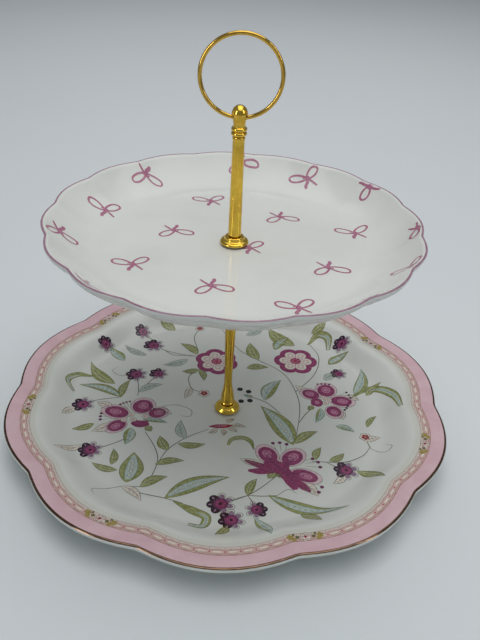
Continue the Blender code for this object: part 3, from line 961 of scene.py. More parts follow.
@dataclass
class FlowerPrint(Print):
    """The lower plate's print: sprays of garden flowers inside a pink border."""

    def leaf(self, base: Point, tip: Point, width: float, kind: Leaf, bend: float = 0.0) -> None:
        """Draws a leaf from its base to its tip, bent to its left by a share of its length."""
        start, run = np.array(base), np.array(tip) - np.array(base)
        length = float(np.linalg.norm(run))
        aside = np.array([-run[1], run[0]])
        t = np.linspace(0.01, 0.99, max(9, math.ceil(length / self.step) + 1))[:, None]
        middle = start + run * t + aside * bend * 4 * t * (1 - t)
        side = aside / length * width / 2 * np.sin(math.pi * t**0.82)
        outer, inner, edge = LEAF_INKS[kind]
        self.strip(outer, middle + side, middle - side, 2)
        if kind is Leaf.GREEN:
            self.strip(inner, middle + side * 0.50, middle + side * 0.12, 3)
            self.strip(inner, middle - side * 0.12, middle - side * 0.42, 3)
        elif kind is Leaf.BLUE:
            self.strip(inner, middle + side * 0.8, middle - side * 0.35, 3)
        elif kind is Leaf.FANCY:
            self.patterned(middle[2:-2], side[2:-2] * 0.50)
        for sign in (1, -1):
            self.stroke(edge, (middle + sign * side)[:: max(1, len(t) // 8)].tolist() + [tip], 0.34, 5)
        if kind is not Leaf.FANCY:
            self.stroke(edge, middle[1:-1:3], 0.30, 5)
            self.veins(edge, middle, side * 0.75)

    def veins(self, ink: Ink, middle: np.ndarray, side: np.ndarray) -> None:
        """Draws the side veins of a leaf."""
        count = len(middle)
        for share in (0.28, 0.46, 0.64):
            root, end = int(count * share), min(count - 2, int(count * (share + 0.16)))
            for sign in (1, -1):
                self.stroke(ink, [tuple(middle[root]), tuple(middle[end] + sign * side[end])], 0.22, 5)

    def patterned(self, middle: np.ndarray, side: np.ndarray) -> None:
        """Draws the pale inside of a large leaf: an outline, hatching, and a row of rings."""
        self.strip(Ink.MIST, middle + side, middle - side, 3)
        for sign in (1, -1):
            self.stroke(Ink.TEAL, (middle + sign * side)[::2], 0.32, 5)
        size = float(np.linalg.norm(side, axis=1).max())
        for here, half in list(zip(middle, side))[3 : len(middle) - 2 : 3]:
            if float(np.linalg.norm(half)) / size > 0.6:
                self.loop(Ink.TEAL, tuple(here), 0.30 * size, 0.30, 6)
                self.spot(Ink.CREAM, tuple(here), 0.24 * size, 5)
            else:
                self.stroke(Ink.TEAL, [tuple(here - half * 0.7), tuple(here + half * 0.7)], 0.22, 5)

    def curl(self, points: Sequence[Point], width: float, inner: Ink) -> None:
        """Draws a long leaf whose tip curls over."""
        self.stroke(Ink.OLIVE, points, width, 2, (0.15, 0.5))
        self.stroke(Ink.LEAF, points, width * 0.84, 3, (0.10, 0.5))
        self.stroke(inner, points[1:], width * 0.40, 4, (0.1, 0.6))
        self.stroke(Ink.OLIVE, points, 0.26, 5)

    def leaves(self, rows: Sequence[tuple[Point, Point, float, Leaf, float]]) -> None:
        """Draws leaves, each given by its base, tip, width, kind and bend."""
        for base, tip, width, kind, bend in rows:
            self.leaf(base, tip, width, kind, bend)

    def stems(self, paths: Sequence[Sequence[Point]]) -> None:
        """Draws stems."""
        for points in paths:
            self.stroke(Ink.LINE, points, 0.55, 1, (0.8, 0.6))

    def daisy(self, centre: Point, radius: float, facing: float = 2.9) -> None:
        """Draws a small plum flower: inky petals on the side that it faces, pale outlined ones behind."""
        petals = 7
        for i in range(petals):
            angle = facing + 2 * math.pi * i / petals
            place = polar(centre, radius * 0.66, angle)
            far = polar(centre, radius * 0.80, angle)
            if math.cos(angle - facing) > -0.1:
                self.spot(Ink.NIGHT, place, radius * 0.38, 3, stretch=1.15, lean=angle)
                self.spot(Ink.LILAC, far, radius * 0.07, 4, stretch=2.2, lean=angle)
            else:
                self.loop(Ink.LINE, far, radius * 0.27, 0.30, 2, 1.25, angle)
                self.spot(Ink.LILAC, place, radius * 0.22, 3, stretch=1.5, lean=angle)
        self.spot(Ink.PLUM, centre, radius * 0.60, 4, petals, 0.16, facing)
        self.spot(Ink.MAGENTA, centre, radius * 0.42, 5, petals, 0.3, facing)
        self.spot(Ink.NIGHT, centre, radius * 0.15, 6)

    def rosette(self, centre: Point, radius: float, turn: float) -> None:
        """Draws a large open flower: a lobed magenta ring round pale petals and a dotted red eye."""
        lobes, dots = 6, 8
        self.spot(Ink.MAGENTA, centre, radius, 2, lobes, 0.17, turn)
        self.spot(Ink.CREAM, centre, radius * 0.75, 3, lobes, 0.36, turn)
        for i in range(lobes):
            angle = turn + 2 * math.pi * (i + 0.5) / lobes
            self.loop(Ink.PINK, polar(centre, radius * 0.47, angle), radius * 0.115, 0.42, 5, 1.15, angle)
            notch = turn + 2 * math.pi * i / lobes
            self.stroke(Ink.PINK, [polar(centre, radius * k, notch) for k in (0.26, 0.5)], 0.5, 4)
        self.spot(Ink.PINK, centre, radius * 0.27, 5, dots, 0.2, turn)
        for i in range(dots):
            self.spot(Ink.RED, polar(centre, radius * 0.19, 2 * math.pi * i / dots), radius * 0.06, 6)
        self.spot(Ink.RED, centre, radius * 0.10, 6)

    def petal(self, place: Point, length: float, width: float, centre: Point) -> None:
        """Draws one big petal of a blossom: a magenta heart that pales inwards, inside a blush margin."""
        lean = math.atan2(place[1] - centre[1], place[0] - centre[0])
        stretch = length / width
        out = polar(place, 0.7, lean)
        self.loop(Ink.LINE, out, width * 0.66, 0.42, 2, stretch, lean)
        self.spot(Ink.BLUSH, out, width * 0.655, 3, stretch=stretch, lean=lean)
        self.spot(Ink.MAGENTA, place, width * 0.53, 4, stretch=stretch, lean=lean)
        self.loop(Ink.PLUM, place, width * 0.50, 0.34, 5, stretch, lean)
        self.spot(Ink.PINK, out, width * 0.27, 5, stretch=stretch, lean=lean)
        self.loop(Ink.MAGENTA, out, width * 0.17, 0.36, 6, stretch, lean)

    def dots(
        self, ink: Ink, centre: Point, reach: float, start: float, end: float, count: int, size: float
    ) -> None:
        """Draws an arc of dots, each on a fine stamen.

        Args:
            ink: the dots' colour.
            centre: the middle of the arc.
            reach: its radius.
            start: the angle of its first dot, in degrees.
            end: the angle of its last.
            count: how many dots it has.
            size: the radius of each.
        """
        for i in range(count):
            angle = math.radians(start + (end - start) * i / (count - 1))
            tip = polar(centre, reach, angle)
            self.stroke(Ink.LINE, [polar(centre, reach * 0.6, angle), tip], 0.22, 3)
            self.spot(ink, tip, size, 5)

    def blossom(self, centre: Point, petals: Sequence[tuple[float, float, float, float]]) -> None:
        """Draws a fan of big petals whose blush margins join, round small pale hearts.

        Args:
            centre: the middle heart.
            petals: each petal's place (x, y), length and width.
        """
        for x, y, length, width in petals:
            self.petal((x, y), length, width, centre)

    def hearts(self, places: Sequence[Point]) -> None:
        """Draws the small pale hearts of a blossom."""
        for place in places:
            self.loop(Ink.LINE, place, 1.9, 0.34, 6)
            self.spot(Ink.CREAM, place, 1.85, 7)
            self.loop(Ink.PINK, place, 0.8, 0.36, 8)

    def floweret(self, centre: Point, radius: float) -> None:
        """Draws a small pale flower with a red eye."""
        petals = 6
        for i in range(petals):
            place = polar(centre, radius * 0.62, 0.4 + 2 * math.pi * i / petals)
            self.spot(Ink.CREAM, place, radius * 0.33, 2)
            self.loop(Ink.LINE, place, radius * 0.33, 0.24, 3)
            self.spot(Ink.PINK, place, radius * 0.13, 4)
        self.spot(Ink.RED, centre, radius * 0.26, 4, 5, 0.3)

    def tendril(self, points: Sequence[Point]) -> None:
        """Draws a fine curling tendril."""
        self.stroke(Ink.LINE, points, 0.36, 2, (0.9, 0.4))

    def border(self) -> None:
        """Draws the lustre edge, the pink band, and the chain of pale links with its small posies."""
        self.band(Ink.BORDER, 122.0, 129.75, 0)
        self.band(Ink.PEACH, 118.2, 122.0, 0)
        self.band(Ink.SAND, 116.7, 118.2, 0)
        self.band(Ink.LUSTRE, 129.60, 130.80, 2, 12)
        self.band(Ink.BROWN, 121.75, 122.1, 2)
        self.band(Ink.BROWN, 121.0, 121.3, 2, wave=0.30)
        self.band(Ink.BROWN, 118.1, 118.4, 2, wave=-0.30)
        self.band(Ink.BROWN, 116.55, 116.75, 2)
        chain, between_links = 119.75, 1.8
        for i in range(LINKS):
            middle = 360 / LINKS * i
            link = [self.on_border(chain, middle + side) for side in (-1, 0, 1)]
            self.stroke(Ink.BROWN, link, 1.55, 2, (0.7, 0.7))
            self.stroke(Ink.CREAM, link, 1.20, 3, (0.7, 0.7))
            self.spot(Ink.RED, self.on_border(chain, middle + between_links), 0.42, 3)
            self.spot(Ink.BROWN, self.on_border(117.5, middle + between_links), 0.28, 3)
        for i in range(POSIES):
            self.posy(-17.0 + 360 / POSIES * i)

    def posy(self, degrees: float) -> None:
        """Draws a small pale flower of the border between two tufts of leaves."""
        for side in (-1, 1):
            self.spot(Ink.OCHRE, self.on_border(118.8, degrees + side * 3.7), 1.9, 5, 5, 0.4)
            self.spot(Ink.OCHRE, self.on_border(120.6, degrees + side * 3.0), 1.4, 5, 5, 0.3)
            self.spot(Ink.OLIVE, self.on_border(119.2, degrees + side * 2.0), 1.05, 6, 4, 0.2)
            self.spot(Ink.OLIVE, self.on_border(117.4, degrees + side * 2.7), 0.75, 6)
        self.floweret(self.on_border(119.2, degrees), 3.0)

    def left_side(self) -> None:
        """Draws the sprays to the left of the column."""
        self.stems([
            [(-20, 39), (-26, 30), (-23, 18), (-16, 15)],
            [(-47, -25), (-39, -40), (-37, -52), (-42, -68), (-54, -70)],
            [(-37, -52), (-32, -39), (-22, -28), (-10, -20)],
            [(-54, -70), (-44, -74), (-30, -77), (-20, -80)],
            [(-60, 30), (-57, 18), (-56, 8)],
            [(-46, 32), (-50, 24), (-55, 14)],
            [(-45, 59), (-38, 54), (-23, 55)],
            [(-88, -3), (-80, 2), (-66, 6)],
            [(-76, -43), (-66, -38), (-52, -28)],
            [(-62, 77), (-52, 68), (-45, 59), (-20, 52)],
            [(-23, 88), (-26, 76), (-22, 60)],
        ])
        self.leaves([
            ((-72, 19), (-91, 39), 8, Leaf.GREEN, 0.10),
            ((-66, 6), (-94, 16), 7, Leaf.FANCY, -0.12),
            ((-66, 6), (-63, 24), 5, Leaf.GREEN, 0.10),
            ((-56, 12), (-42, 21), 5.5, Leaf.PALE, 0.12),
            ((-28, 50), (-44, 42), 6, Leaf.PALE, 0.10),
            ((-22, 56), (-35, 68), 6, Leaf.GREEN, -0.10),
            ((-20, 39), (-31, 36), 5, Leaf.GREEN, 0.10),
            ((-20, 39), (-16, 27), 4.5, Leaf.GREEN, 0.10),
            ((-25, 20), (-27, 8), 4.5, Leaf.BARE, 0.10),
            ((-52, -67), (-51, -43), 13, Leaf.FANCY, -0.05),
            ((-30, -77), (4, -59), 10, Leaf.FANCY, 0.08),
            ((-44, -70), (-30, -61), 6, Leaf.GREEN, 0.10),
            ((-62, -54), (-63, -41), 4.5, Leaf.GREEN, -0.08),
            ((-58, -58), (-73, -53), 4.5, Leaf.GREEN, 0.10),
            ((-56, -22), (-57, -37), 7, Leaf.BLUE, 0.05),
            ((-32, -40), (-38, -28), 6, Leaf.GREEN, 0.08),
            ((-27, -34), (-11, -33), 5, Leaf.GREEN, -0.10),
            ((-38, -52), (-22, -48), 5, Leaf.GREEN, 0.10),
            ((-23, -30), (-27, -13), 6, Leaf.PALE, 0.10),
            ((-82, -39), (-95, -48), 5, Leaf.BARE, 0.08),
            ((-91, -6), (-98, -15), 4.5, Leaf.BARE, -0.08),
            ((-54, -70), (-42, -80), 5, Leaf.BARE, 0.12),
            ((-78, -20), (-90, -26), 5, Leaf.GREEN, 0.10),
            ((-70, 44), (-84, 56), 7, Leaf.BLUE, -0.10),
            ((-56, 52), (-72, 62), 5, Leaf.PALE, 0.10),
            ((-40, 84), (-52, 95), 7, Leaf.GREEN, 0.10),
            ((-18, 92), (-30, 103), 6, Leaf.FANCY, 0.08),
            ((-6, 92), (6, 104), 6, Leaf.GREEN, -0.08),
        ])
        self.curl([(-25, -79), (-14, -85), (-7, -89), (-9, -96), (-16, -95)], 5.0, Ink.MIST)
        self.curl([(-84, 26), (-95, 25), (-101, 16), (-96, 8)], 3.4, Ink.MIST)
        self.tendril([(-54, -70), (-62, -73), (-68, -77), (-66, -82)])
        self.curl([(17, -36), (15, -29), (10, -26), (4, -28), (2, -33)], 3.2, Ink.SAGE)
        self.tendril([(-60, 30), (-70, 28), (-76, 33), (-73, 37)])
        heart = (-55.0, -12.0)
        self.leaf((-44, -4), (-33, -8), 5.5, Leaf.BARE, 0.05)
        self.leaf((-50, -14), (-35, -16), 4.0, Leaf.BLUE, 0.05)
        self.leaf((-68, -19), (-78, -27), 6.5, Leaf.BARE, 0.08)
        self.leaf((-70, -6), (-80, 0), 6.0, Leaf.BARE, -0.08)
        self.blossom(heart, [(-66.5, -8.5, 14, 9.5), (-64.5, -21.0, 11, 8.5), (-51.5, -2.0, 12, 11.5),
                             (-42.0, -7.5, 10, 8.5)])
        self.stroke(Ink.MAGENTA, [(-56, -17), (-51, -18.5), (-46, -17)], 6.0, 4, (0.6, 0.7))
        self.stroke(Ink.PLUM, [(-54, -19), (-50, -19.5), (-46.5, -18)], 0.5, 5)
        self.leaf((-47, -20), (-43.5, -24.5), 4.5, Leaf.GREEN)
        self.hearts([(-57.5, -10.5), (-55.5, -14.8), (-48.5, -11.5), (-61.0, -15.5)])
        self.dots(Ink.NIGHT, heart, 13.5, 38, 66, 4, 0.80)
        self.dots(Ink.PLUM, heart, 15.0, 110, 134, 4, 0.85)
        self.dots(Ink.PLUM, heart, 20.5, 176, 192, 3, 1.0)
        self.rosette((-9, 49), 14.5, 0.2)
        for centre, radius, facing in (
            ((-62, 77), 5.2, 2.9), ((-53, 64), 6.5, 2.6), ((-60, 30), 6.4, 3.1), ((-46, 32), 5.6, 2.6),
            ((-88, -3), 6.3, 3.3), ((-76, -43), 6.4, 3.2), ((-84, 56), 5.0, 2.2),
        ):
            self.daisy(centre, radius, facing)
        self.small_red((-23, 88), 3.2)
        self.small_red((-15, 14), 3.4)
        self.stroke(Ink.RED, [(-10, -17.5), (-5, -17), (0, -16.5), (4, -15.5)], 3.4, 4, (0.2, 0.3))
        self.stroke(Ink.PINK, [(-7, -17), (-3, -16.6), (1, -16)], 0.9, 5)
        for tip in ((12, -16.5), (7, -21.5), (-1, -25), (-10, -23.5), (5, -9.5)):
            self.leaf((tip[0] * 0.35 - 1.5, tip[1] * 0.35 - 10.5), tip, 3.0, Leaf.BARE, 0.12)
        self.tendril([(-40, -1), (-31, 1), (-22, -3), (-22, -9), (-28, -9)])

    def right_side(self) -> None:
        """Draws the sprays to the right of the column."""
        self.stems([
            [(30, -56), (22, -65), (14, -72), (5, -77)],
            [(14, -72), (22, -72), (30, -71)],
            [(40, -30), (43, -15), (45, 5), (43, 20), (38, 35), (30, 45), (20, 52), (5, 65), (-8, 90)],
            [(44, -10), (48, -2), (53, 5)],
            [(12, 14), (24, 8), (33, -2)],
            [(50, -43), (60, -43), (70, -42), (80, -36), (85, -28)],
            [(69, -49), (64, -47), (58, -43)],
            [(83, -20), (84, -26), (85, -30)],
            [(74, 14), (80, 20), (84, 28)],
            [(0, -79), (6, -76), (14, -72)],
            [(19, -82), (17, -77), (14, -72)],
            [(43, 20), (56, 40), (60, 60), (54, 76)],
        ])
        self.leaves([
            ((19, 53), (13, 73), 8, Leaf.GREEN, 0.08),
            ((11, 43), (26, 45), 6, Leaf.GREEN, 0.10),
            ((44, 72), (26, 92), 11, Leaf.GREEN, 0.10),
            ((23, 10), (34, 32), 9, Leaf.BLUE, 0.10),
            ((80, 21), (87, 46), 8, Leaf.BLUE, -0.12),
            ((40, -30), (21, 4), 13, Leaf.FANCY, -0.06),
            ((41, -29), (55, -17), 6, Leaf.GREEN, 0.10),
            ((58, 5), (54, -9), 5, Leaf.BLUE, 0.08),
            ((25, -71), (67, -81), 8, Leaf.FANCY, -0.10),
            ((14, -72), (19, -59), 5, Leaf.GREEN, 0.08),
            ((18, -88), (26, -106), 6, Leaf.BLUE, 0.08),
            ((66, -11), (77, -16), 4.5, Leaf.BLUE, 0.10),
            ((85, -11), (92, 0), 3.4, Leaf.GREEN, 0.10),
            ((82, -24), (92, -20), 4.5, Leaf.BARE, 0.10),
            ((75, -49), (88, -61), 6, Leaf.GREEN, 0.10),
            ((68, -52), (61, -60), 4.5, Leaf.BARE, 0.10),
            ((52, -42), (56, -31), 4.4, Leaf.GREEN, 0.10),
            ((60, -42), (69, -35), 4.4, Leaf.GREEN, -0.10),
            ((4, -94), (-2, -105), 5, Leaf.GREEN, 0.10),
            ((42, -84), (52, -93), 5.5, Leaf.GREEN, 0.10),
            ((62, 34), (72, 42), 6, Leaf.PALE, 0.10),
            ((66, 52), (80, 62), 7, Leaf.FANCY, 0.10),
            ((56, 84), (66, 92), 6, Leaf.GREEN, -0.10),
            ((30, 66), (40, 82), 7, Leaf.FANCY, 0.10),
            ((88, 20), (98, 30), 5, Leaf.GREEN, 0.10),
            ((10, 82), (22, 96), 6, Leaf.PALE, -0.10),
        ])
        self.curl([(78, 17), (88, 26), (97, 24), (104, 14), (106, 1)], 5.2, Ink.MIST)
        self.curl([(53, 74), (60, 82), (67, 78), (67, 68)], 5.0, Ink.MIST)
        self.tendril([(85, -30), (93, -34), (97, -30), (94, -27)])
        self.tendril([(30, -71), (36, -66), (41, -69)])
        heart = (61.5, 13.5)
        self.leaf((52, 21), (43, 27), 5.0, Leaf.BARE, 0.08)
        self.leaf((68, 4), (71, -5), 6.0, Leaf.BARE, 0.08)
        self.leaf((74, 18), (83, 15), 5.5, Leaf.BARE, 0.08)
        self.blossom(heart, [(52.5, 18.5, 10.5, 8.5), (62.5, 23.0, 11.5, 10.5), (71.5, 13.0, 12.5, 9.0),
                             (66.0, 2.5, 9.5, 8.5)])
        self.spot(Ink.MAGENTA, (56.0, 10.5), 4.2, 4, 5, 0.15, 0.6)
        self.spot(Ink.PINK, (56.0, 10.5), 1.6, 5)
        self.leaf((53.5, 7.0), (50.0, 2.5), 3.6, Leaf.GREEN)
        self.hearts([(60.5, 15.5), (61.5, 10.5), (63.5, 13.3)])
        self.dots(Ink.PLUM, heart, 16.5, 78, 104, 4, 0.85)
        self.dots(Ink.NIGHT, heart, 16.5, 12, 32, 3, 0.85)
        self.dots(Ink.NIGHT, heart, 14.5, -38, -20, 3, 0.9)
        heart = (31.0, -50.0)
        self.leaf((22, -47), (9, -44), 5.0, Leaf.BARE, 0.05)
        self.leaf((44, -61), (52, -70), 6.0, Leaf.BARE, 0.08)
        self.blossom(heart, [(25.0, -39.5, 13, 9.5), (39.0, -41.0, 13, 10.0), (45.5, -55.0, 14, 8.5)])
        for path, width in (
            ([(32, -49), (22, -49), (12, -45)], 4.2),
            ([(32, -51), (22, -53), (14, -53)], 4.8),
            ([(24, -44), (30, -49), (38, -55)], 9.0),
            ([(30, -50), (37, -57), (40, -66)], 8.0),
            ([(36, -57), (43, -62), (48, -67)], 5.0),
            ([(36, -46), (32, -50), (30, -53)], 7.0),
        ):
            self.stroke(Ink.MAGENTA, path, width, 4, (0.6, 0.35))
        throat = (33, -51)
        for path in (
            [(25, -40), (28, -46), throat],
            [(39, -42), (36, -47), throat],
            [(45, -55), (39, -54), throat],
            [throat, (38, -58), (40, -64)],
        ):
            self.stroke(Ink.PLUM, path, 0.55, 7, (0.8, 0.5))
        for eye in ((25.8, -40.8), (38.0, -42.4)):
            self.loop(Ink.PLUM, eye, 1.7, 0.45, 7)
        self.leaf((29, -53), (25, -58.5), 5.0, Leaf.GREEN)
        self.leaf((31, -54), (31.5, -57.5), 3.0, Leaf.GREEN)
        for berry in (
            (28, -29.5), (32, -28.8), (36, -29.8), (50.5, -41),
            (53.5, -43.5), (54.5, -47.5), (54.5, -63), (52.5, -67),
        ):
            self.stroke(Ink.LINE, [(berry[0] * 0.6 + 13.5, berry[1] * 0.6 - 19.0), berry], 0.26, 1)
            self.spot(Ink.PLUM, berry, 1.15, 6)
        self.rosette((44, 54), 14.5, 0.5)
        for centre, radius, facing in (
            ((0, -79), 7.0, 3.3), ((6, -90), 6.5, 3.4), ((19, -82), 5.5, 0.2), ((69, -49), 6.6, 3.0),
            ((76, 70), 5.6, 2.4), ((6, 104), 5.0, 2.9), ((72, 42), 5.0, 2.9),
        ):
            self.daisy(centre, radius, facing)
        self.small_red((83, -20), 3.4)
        self.leaf((16, 12.5), (9.5, 14.5), 2.6, Leaf.BLUE)
        for berry in ((7.5, 20), (13, 18), (8.5, 8), (14, 9)):
            self.spot(Ink.BLACK, berry, 1.8, 4)

    def small_red(self, centre: Point, radius: float) -> None:
        """Draws a small red bud flower on a pale rim."""
        self.spot(Ink.LINE, centre, radius * 1.1, 2, 5, 0.2, 0.3)
        self.spot(Ink.CREAM, centre, radius, 3, 5, 0.2, 0.3)
        self.spot(Ink.RED, centre, radius * 0.72, 4, 5, 0.35, 0.3)
        self.spot(Ink.OCHRE, centre, radius * 0.22, 5)


@dataclass
class BowPrint(Print):
    """The upper plate's print: ribbon bows strewn over the whole face, and a rose line on the rim."""

    width: float = 1.20
    scale: float = 0.95
    floor_reach: float = 70.1
    wall_length: float = 32.5
    wall_loss: float = 5.2
    furthest_row: float = 114.0
    knot_limit: float = 97.0
    past_limit: float = 0.45

    def draped(self, x: float, y: float) -> Point:
        """The place from above of a point of the flat transfer, once it lies on the plate's wall."""
        away = math.hypot(x, y)
        up_wall = min(1.0, max(0.0, (away - self.floor_reach) / self.wall_length))
        pull = 1 - self.wall_loss * up_wall**3 / away
        return (x * pull, y * pull)

    def bow(self, knot: Point, turn: float) -> None:
        """Draws a bow turned by an angle in degrees: two loops, a thick and a thin tail, and the knot."""
        lean = math.radians(turn)

        cos, sin = self.scale * math.cos(lean), self.scale * math.sin(lean)

        def placed(points: Sequence[Point]) -> list[Point]:
            """The points of the bow, turned, moved to its knot and draped."""
            moved = [(knot[0] + x * cos - y * sin, knot[1] + x * sin + y * cos) for x, y in points]
            return [self.draped(x, y) for x, y in moved]

        long_loop = [(0, 0), (-4.2, 3.9), (-8.4, 5.2), (-11.2, 4.2), (-10.4, 1.0), (-5.8, -0.7)]
        short_loop = [(0, 0), (0.6, 4.0), (3.2, 7.6), (6.4, 8.6), (7.9, 6.2), (5.2, 2.1)]
        self.stroke(Ink.BOW, placed(long_loop), self.width, 1, closed=True)
        self.stroke(Ink.BOW, placed(short_loop), self.width, 2, closed=True)
        thick_tail = [(0.2, 0), (0.2, -2.4), (-0.9, -4.6), (-0.7, -7.0)]
        thin_tail = [(0, 0), (2.4, -1.2), (4.4, -3.2), (6.4, -5.4)]
        fold = [(-2.6, 0.7), (-0.2, 1.8), (1.6, 1.0)]
        self.stroke(Ink.BOW, placed(thick_tail), 2.0, 3, (0.8, 0.8))
        self.stroke(Ink.BOW, placed(thin_tail), 1.25, 4, (0.9, 0.7))
        self.stroke(Ink.BOW, placed(fold), 1.1, 5, (0.7, 0.7))
        self.spot(Ink.BOW, placed([(0.1, 0.2)])[0], 1.25, 6)

    def kept_on(self, knot: Point) -> Point:
        """A knot's place; one that would fall past the rim is moved part of the way back to it."""
        away = math.hypot(*knot)
        kept = min(1.0, (self.knot_limit + (away - self.knot_limit) * self.past_limit) / away)
        return (knot[0] * kept, knot[1] * kept)

    def strewn(self) -> None:
        """Draws all the bows, in two crossing rows that turn opposite ways."""
        start, along, across, between = (8.0, -4.0), (58.5, 24.5), (24.0, -58.5), (17.2, 41.5)
        for i in range(-3, 4):
            for j in range(-3, 4):
                first = tuple(start[k] + i * along[k] + j * across[k] for k in (0, 1))
                second = (first[0] + between[0], first[1] + between[1])
                for knot, turn in ((first, 0.0), (second, 180.0)):
                    if math.hypot(*knot) < self.furthest_row:
                        self.bow(self.kept_on(knot), turn)

    def rim_line(self) -> None:
        """Draws the rose line on the rim."""
        around, columns = 640, 10
        angle = np.arange(around) * 2 * math.pi / around
        across = np.linspace(98.85, 99.88, columns)
        rows = [self.form.at(plain * MM + 0 * angle, angle) / MM for plain in across]
        self.add(Ink.RIM_ROSE, np.stack(rows, 1).reshape(-1, 2), quads(around, columns, True, False), 2)


# ---------------------------------------------------------------------------------------------
# The sub-assemblies
# ---------------------------------------------------------------------------------------------


@dataclass
class Plate:
    """A glazed plate with its print."""

    form: PlateForm
    body: str
    slot: str
    finish: GlazeFinish
    steps: int = 480

    def build(self) -> None:
        """Makes the glazed plate in place of its plain node."""
        points, faces, shade = self.form.mesh(self.steps)
        glaze = self.finish.make(self.form.node + "_glaze")
        plate = new_piece(self.form.node + "_glazed", points, faces, glaze)
        # the painted shade inside the border, stored on the plate for its glaze
        plate.data.attributes.new("painted_rim_shade", "FLOAT", "POINT").data.foreach_set("value", shade)
        fit(plate, self.body, self.slot, self.form.node)


@dataclass
class FlowerPlate(Plate):
    """The lower plate."""

    def dress(self) -> None:
        """Lays the flowers and the border on it."""
        flowers = FlowerPrint(self.form, reach=130.9)
        flowers.border()
        flowers.left_side()
        flowers.right_side()
        flowers.make(self.body, self.slot)


@dataclass
class BowPlate(Plate):
    """The upper plate."""

    def dress(self) -> None:
        """Lays the bows and the rim's line on it."""
        bows = BowPrint(self.form, reach=98.7)
        bows.strewn()
        bows.reach = 99.95
        bows.rim_line()
        bows.make(self.body, self.slot)


@dataclass
class Washer:
    """A flat washer round the column, of rubber unless it says otherwise."""

    node: str
    body: str
    slot: str = "washer_rubber"
    finish: MetalFinish | RubberFinish = RUBBER
    radius: float = 0.0063
    thickness: float = 0.0010
    easing: float = 0.0002
    bore: float = 0.0023

    def build(self) -> None:
        """Makes it in place of its plain node."""
        outer, top, half = self.radius, self.thickness, self.easing * 0.5
        corners = [(self.bore, top), (outer - half, top), (outer, top - half)]
        corners += [(outer, half), (outer - half, 0), (self.bore, 0)]
        points, faces = turned(softened(corners, self.easing, True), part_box(self.node)[0].z, 120, True)
        piece = new_piece(self.node + "_disc", points, faces, self.finish.make(self.node), crease=30)
        fit(piece, self.body, self.slot, self.node)


@dataclass
class CupWasher:
    """A gold cup washer, turned to the outline of its profile and hollow below."""

    node: str
    body: str
    profile: list[Point]

    def build(self) -> None:
        """Makes it in place of its plain node."""
        closed = self.profile + [(0.0072, 0), (0.0066, 0), (0.0066, 0.0007), (CUP_BORE, 0.0007)]
        points, faces = turned(softened(closed, 0.00045, True, 6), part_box(self.node)[0].z, 144, True)
        piece = new_piece(self.node + "_turned", points, faces, GOLD.make(self.node), crease=38)
        fit(piece, self.body, "gold_plate", self.node)


@dataclass
class ColumnTurning:
    """A turned and plated length of the column, with the sockets that its outline gives it."""

    node: str
    body: str
    outline: list[Point]
    rounding: float
    steps: int = 144

    def build(self) -> bpy.types.Object:
        """Makes it in place of its plain node."""
        base_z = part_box(self.node)[0].z - min(z for _, z in self.outline)
        points, faces = turned(softened(self.outline, self.rounding, False, 6), base_z, self.steps)
        piece = new_piece(self.node + "_turned", points, faces, GOLD.make(self.node), crease=38)
        return fit(piece, self.body, "gold_plate", self.node)


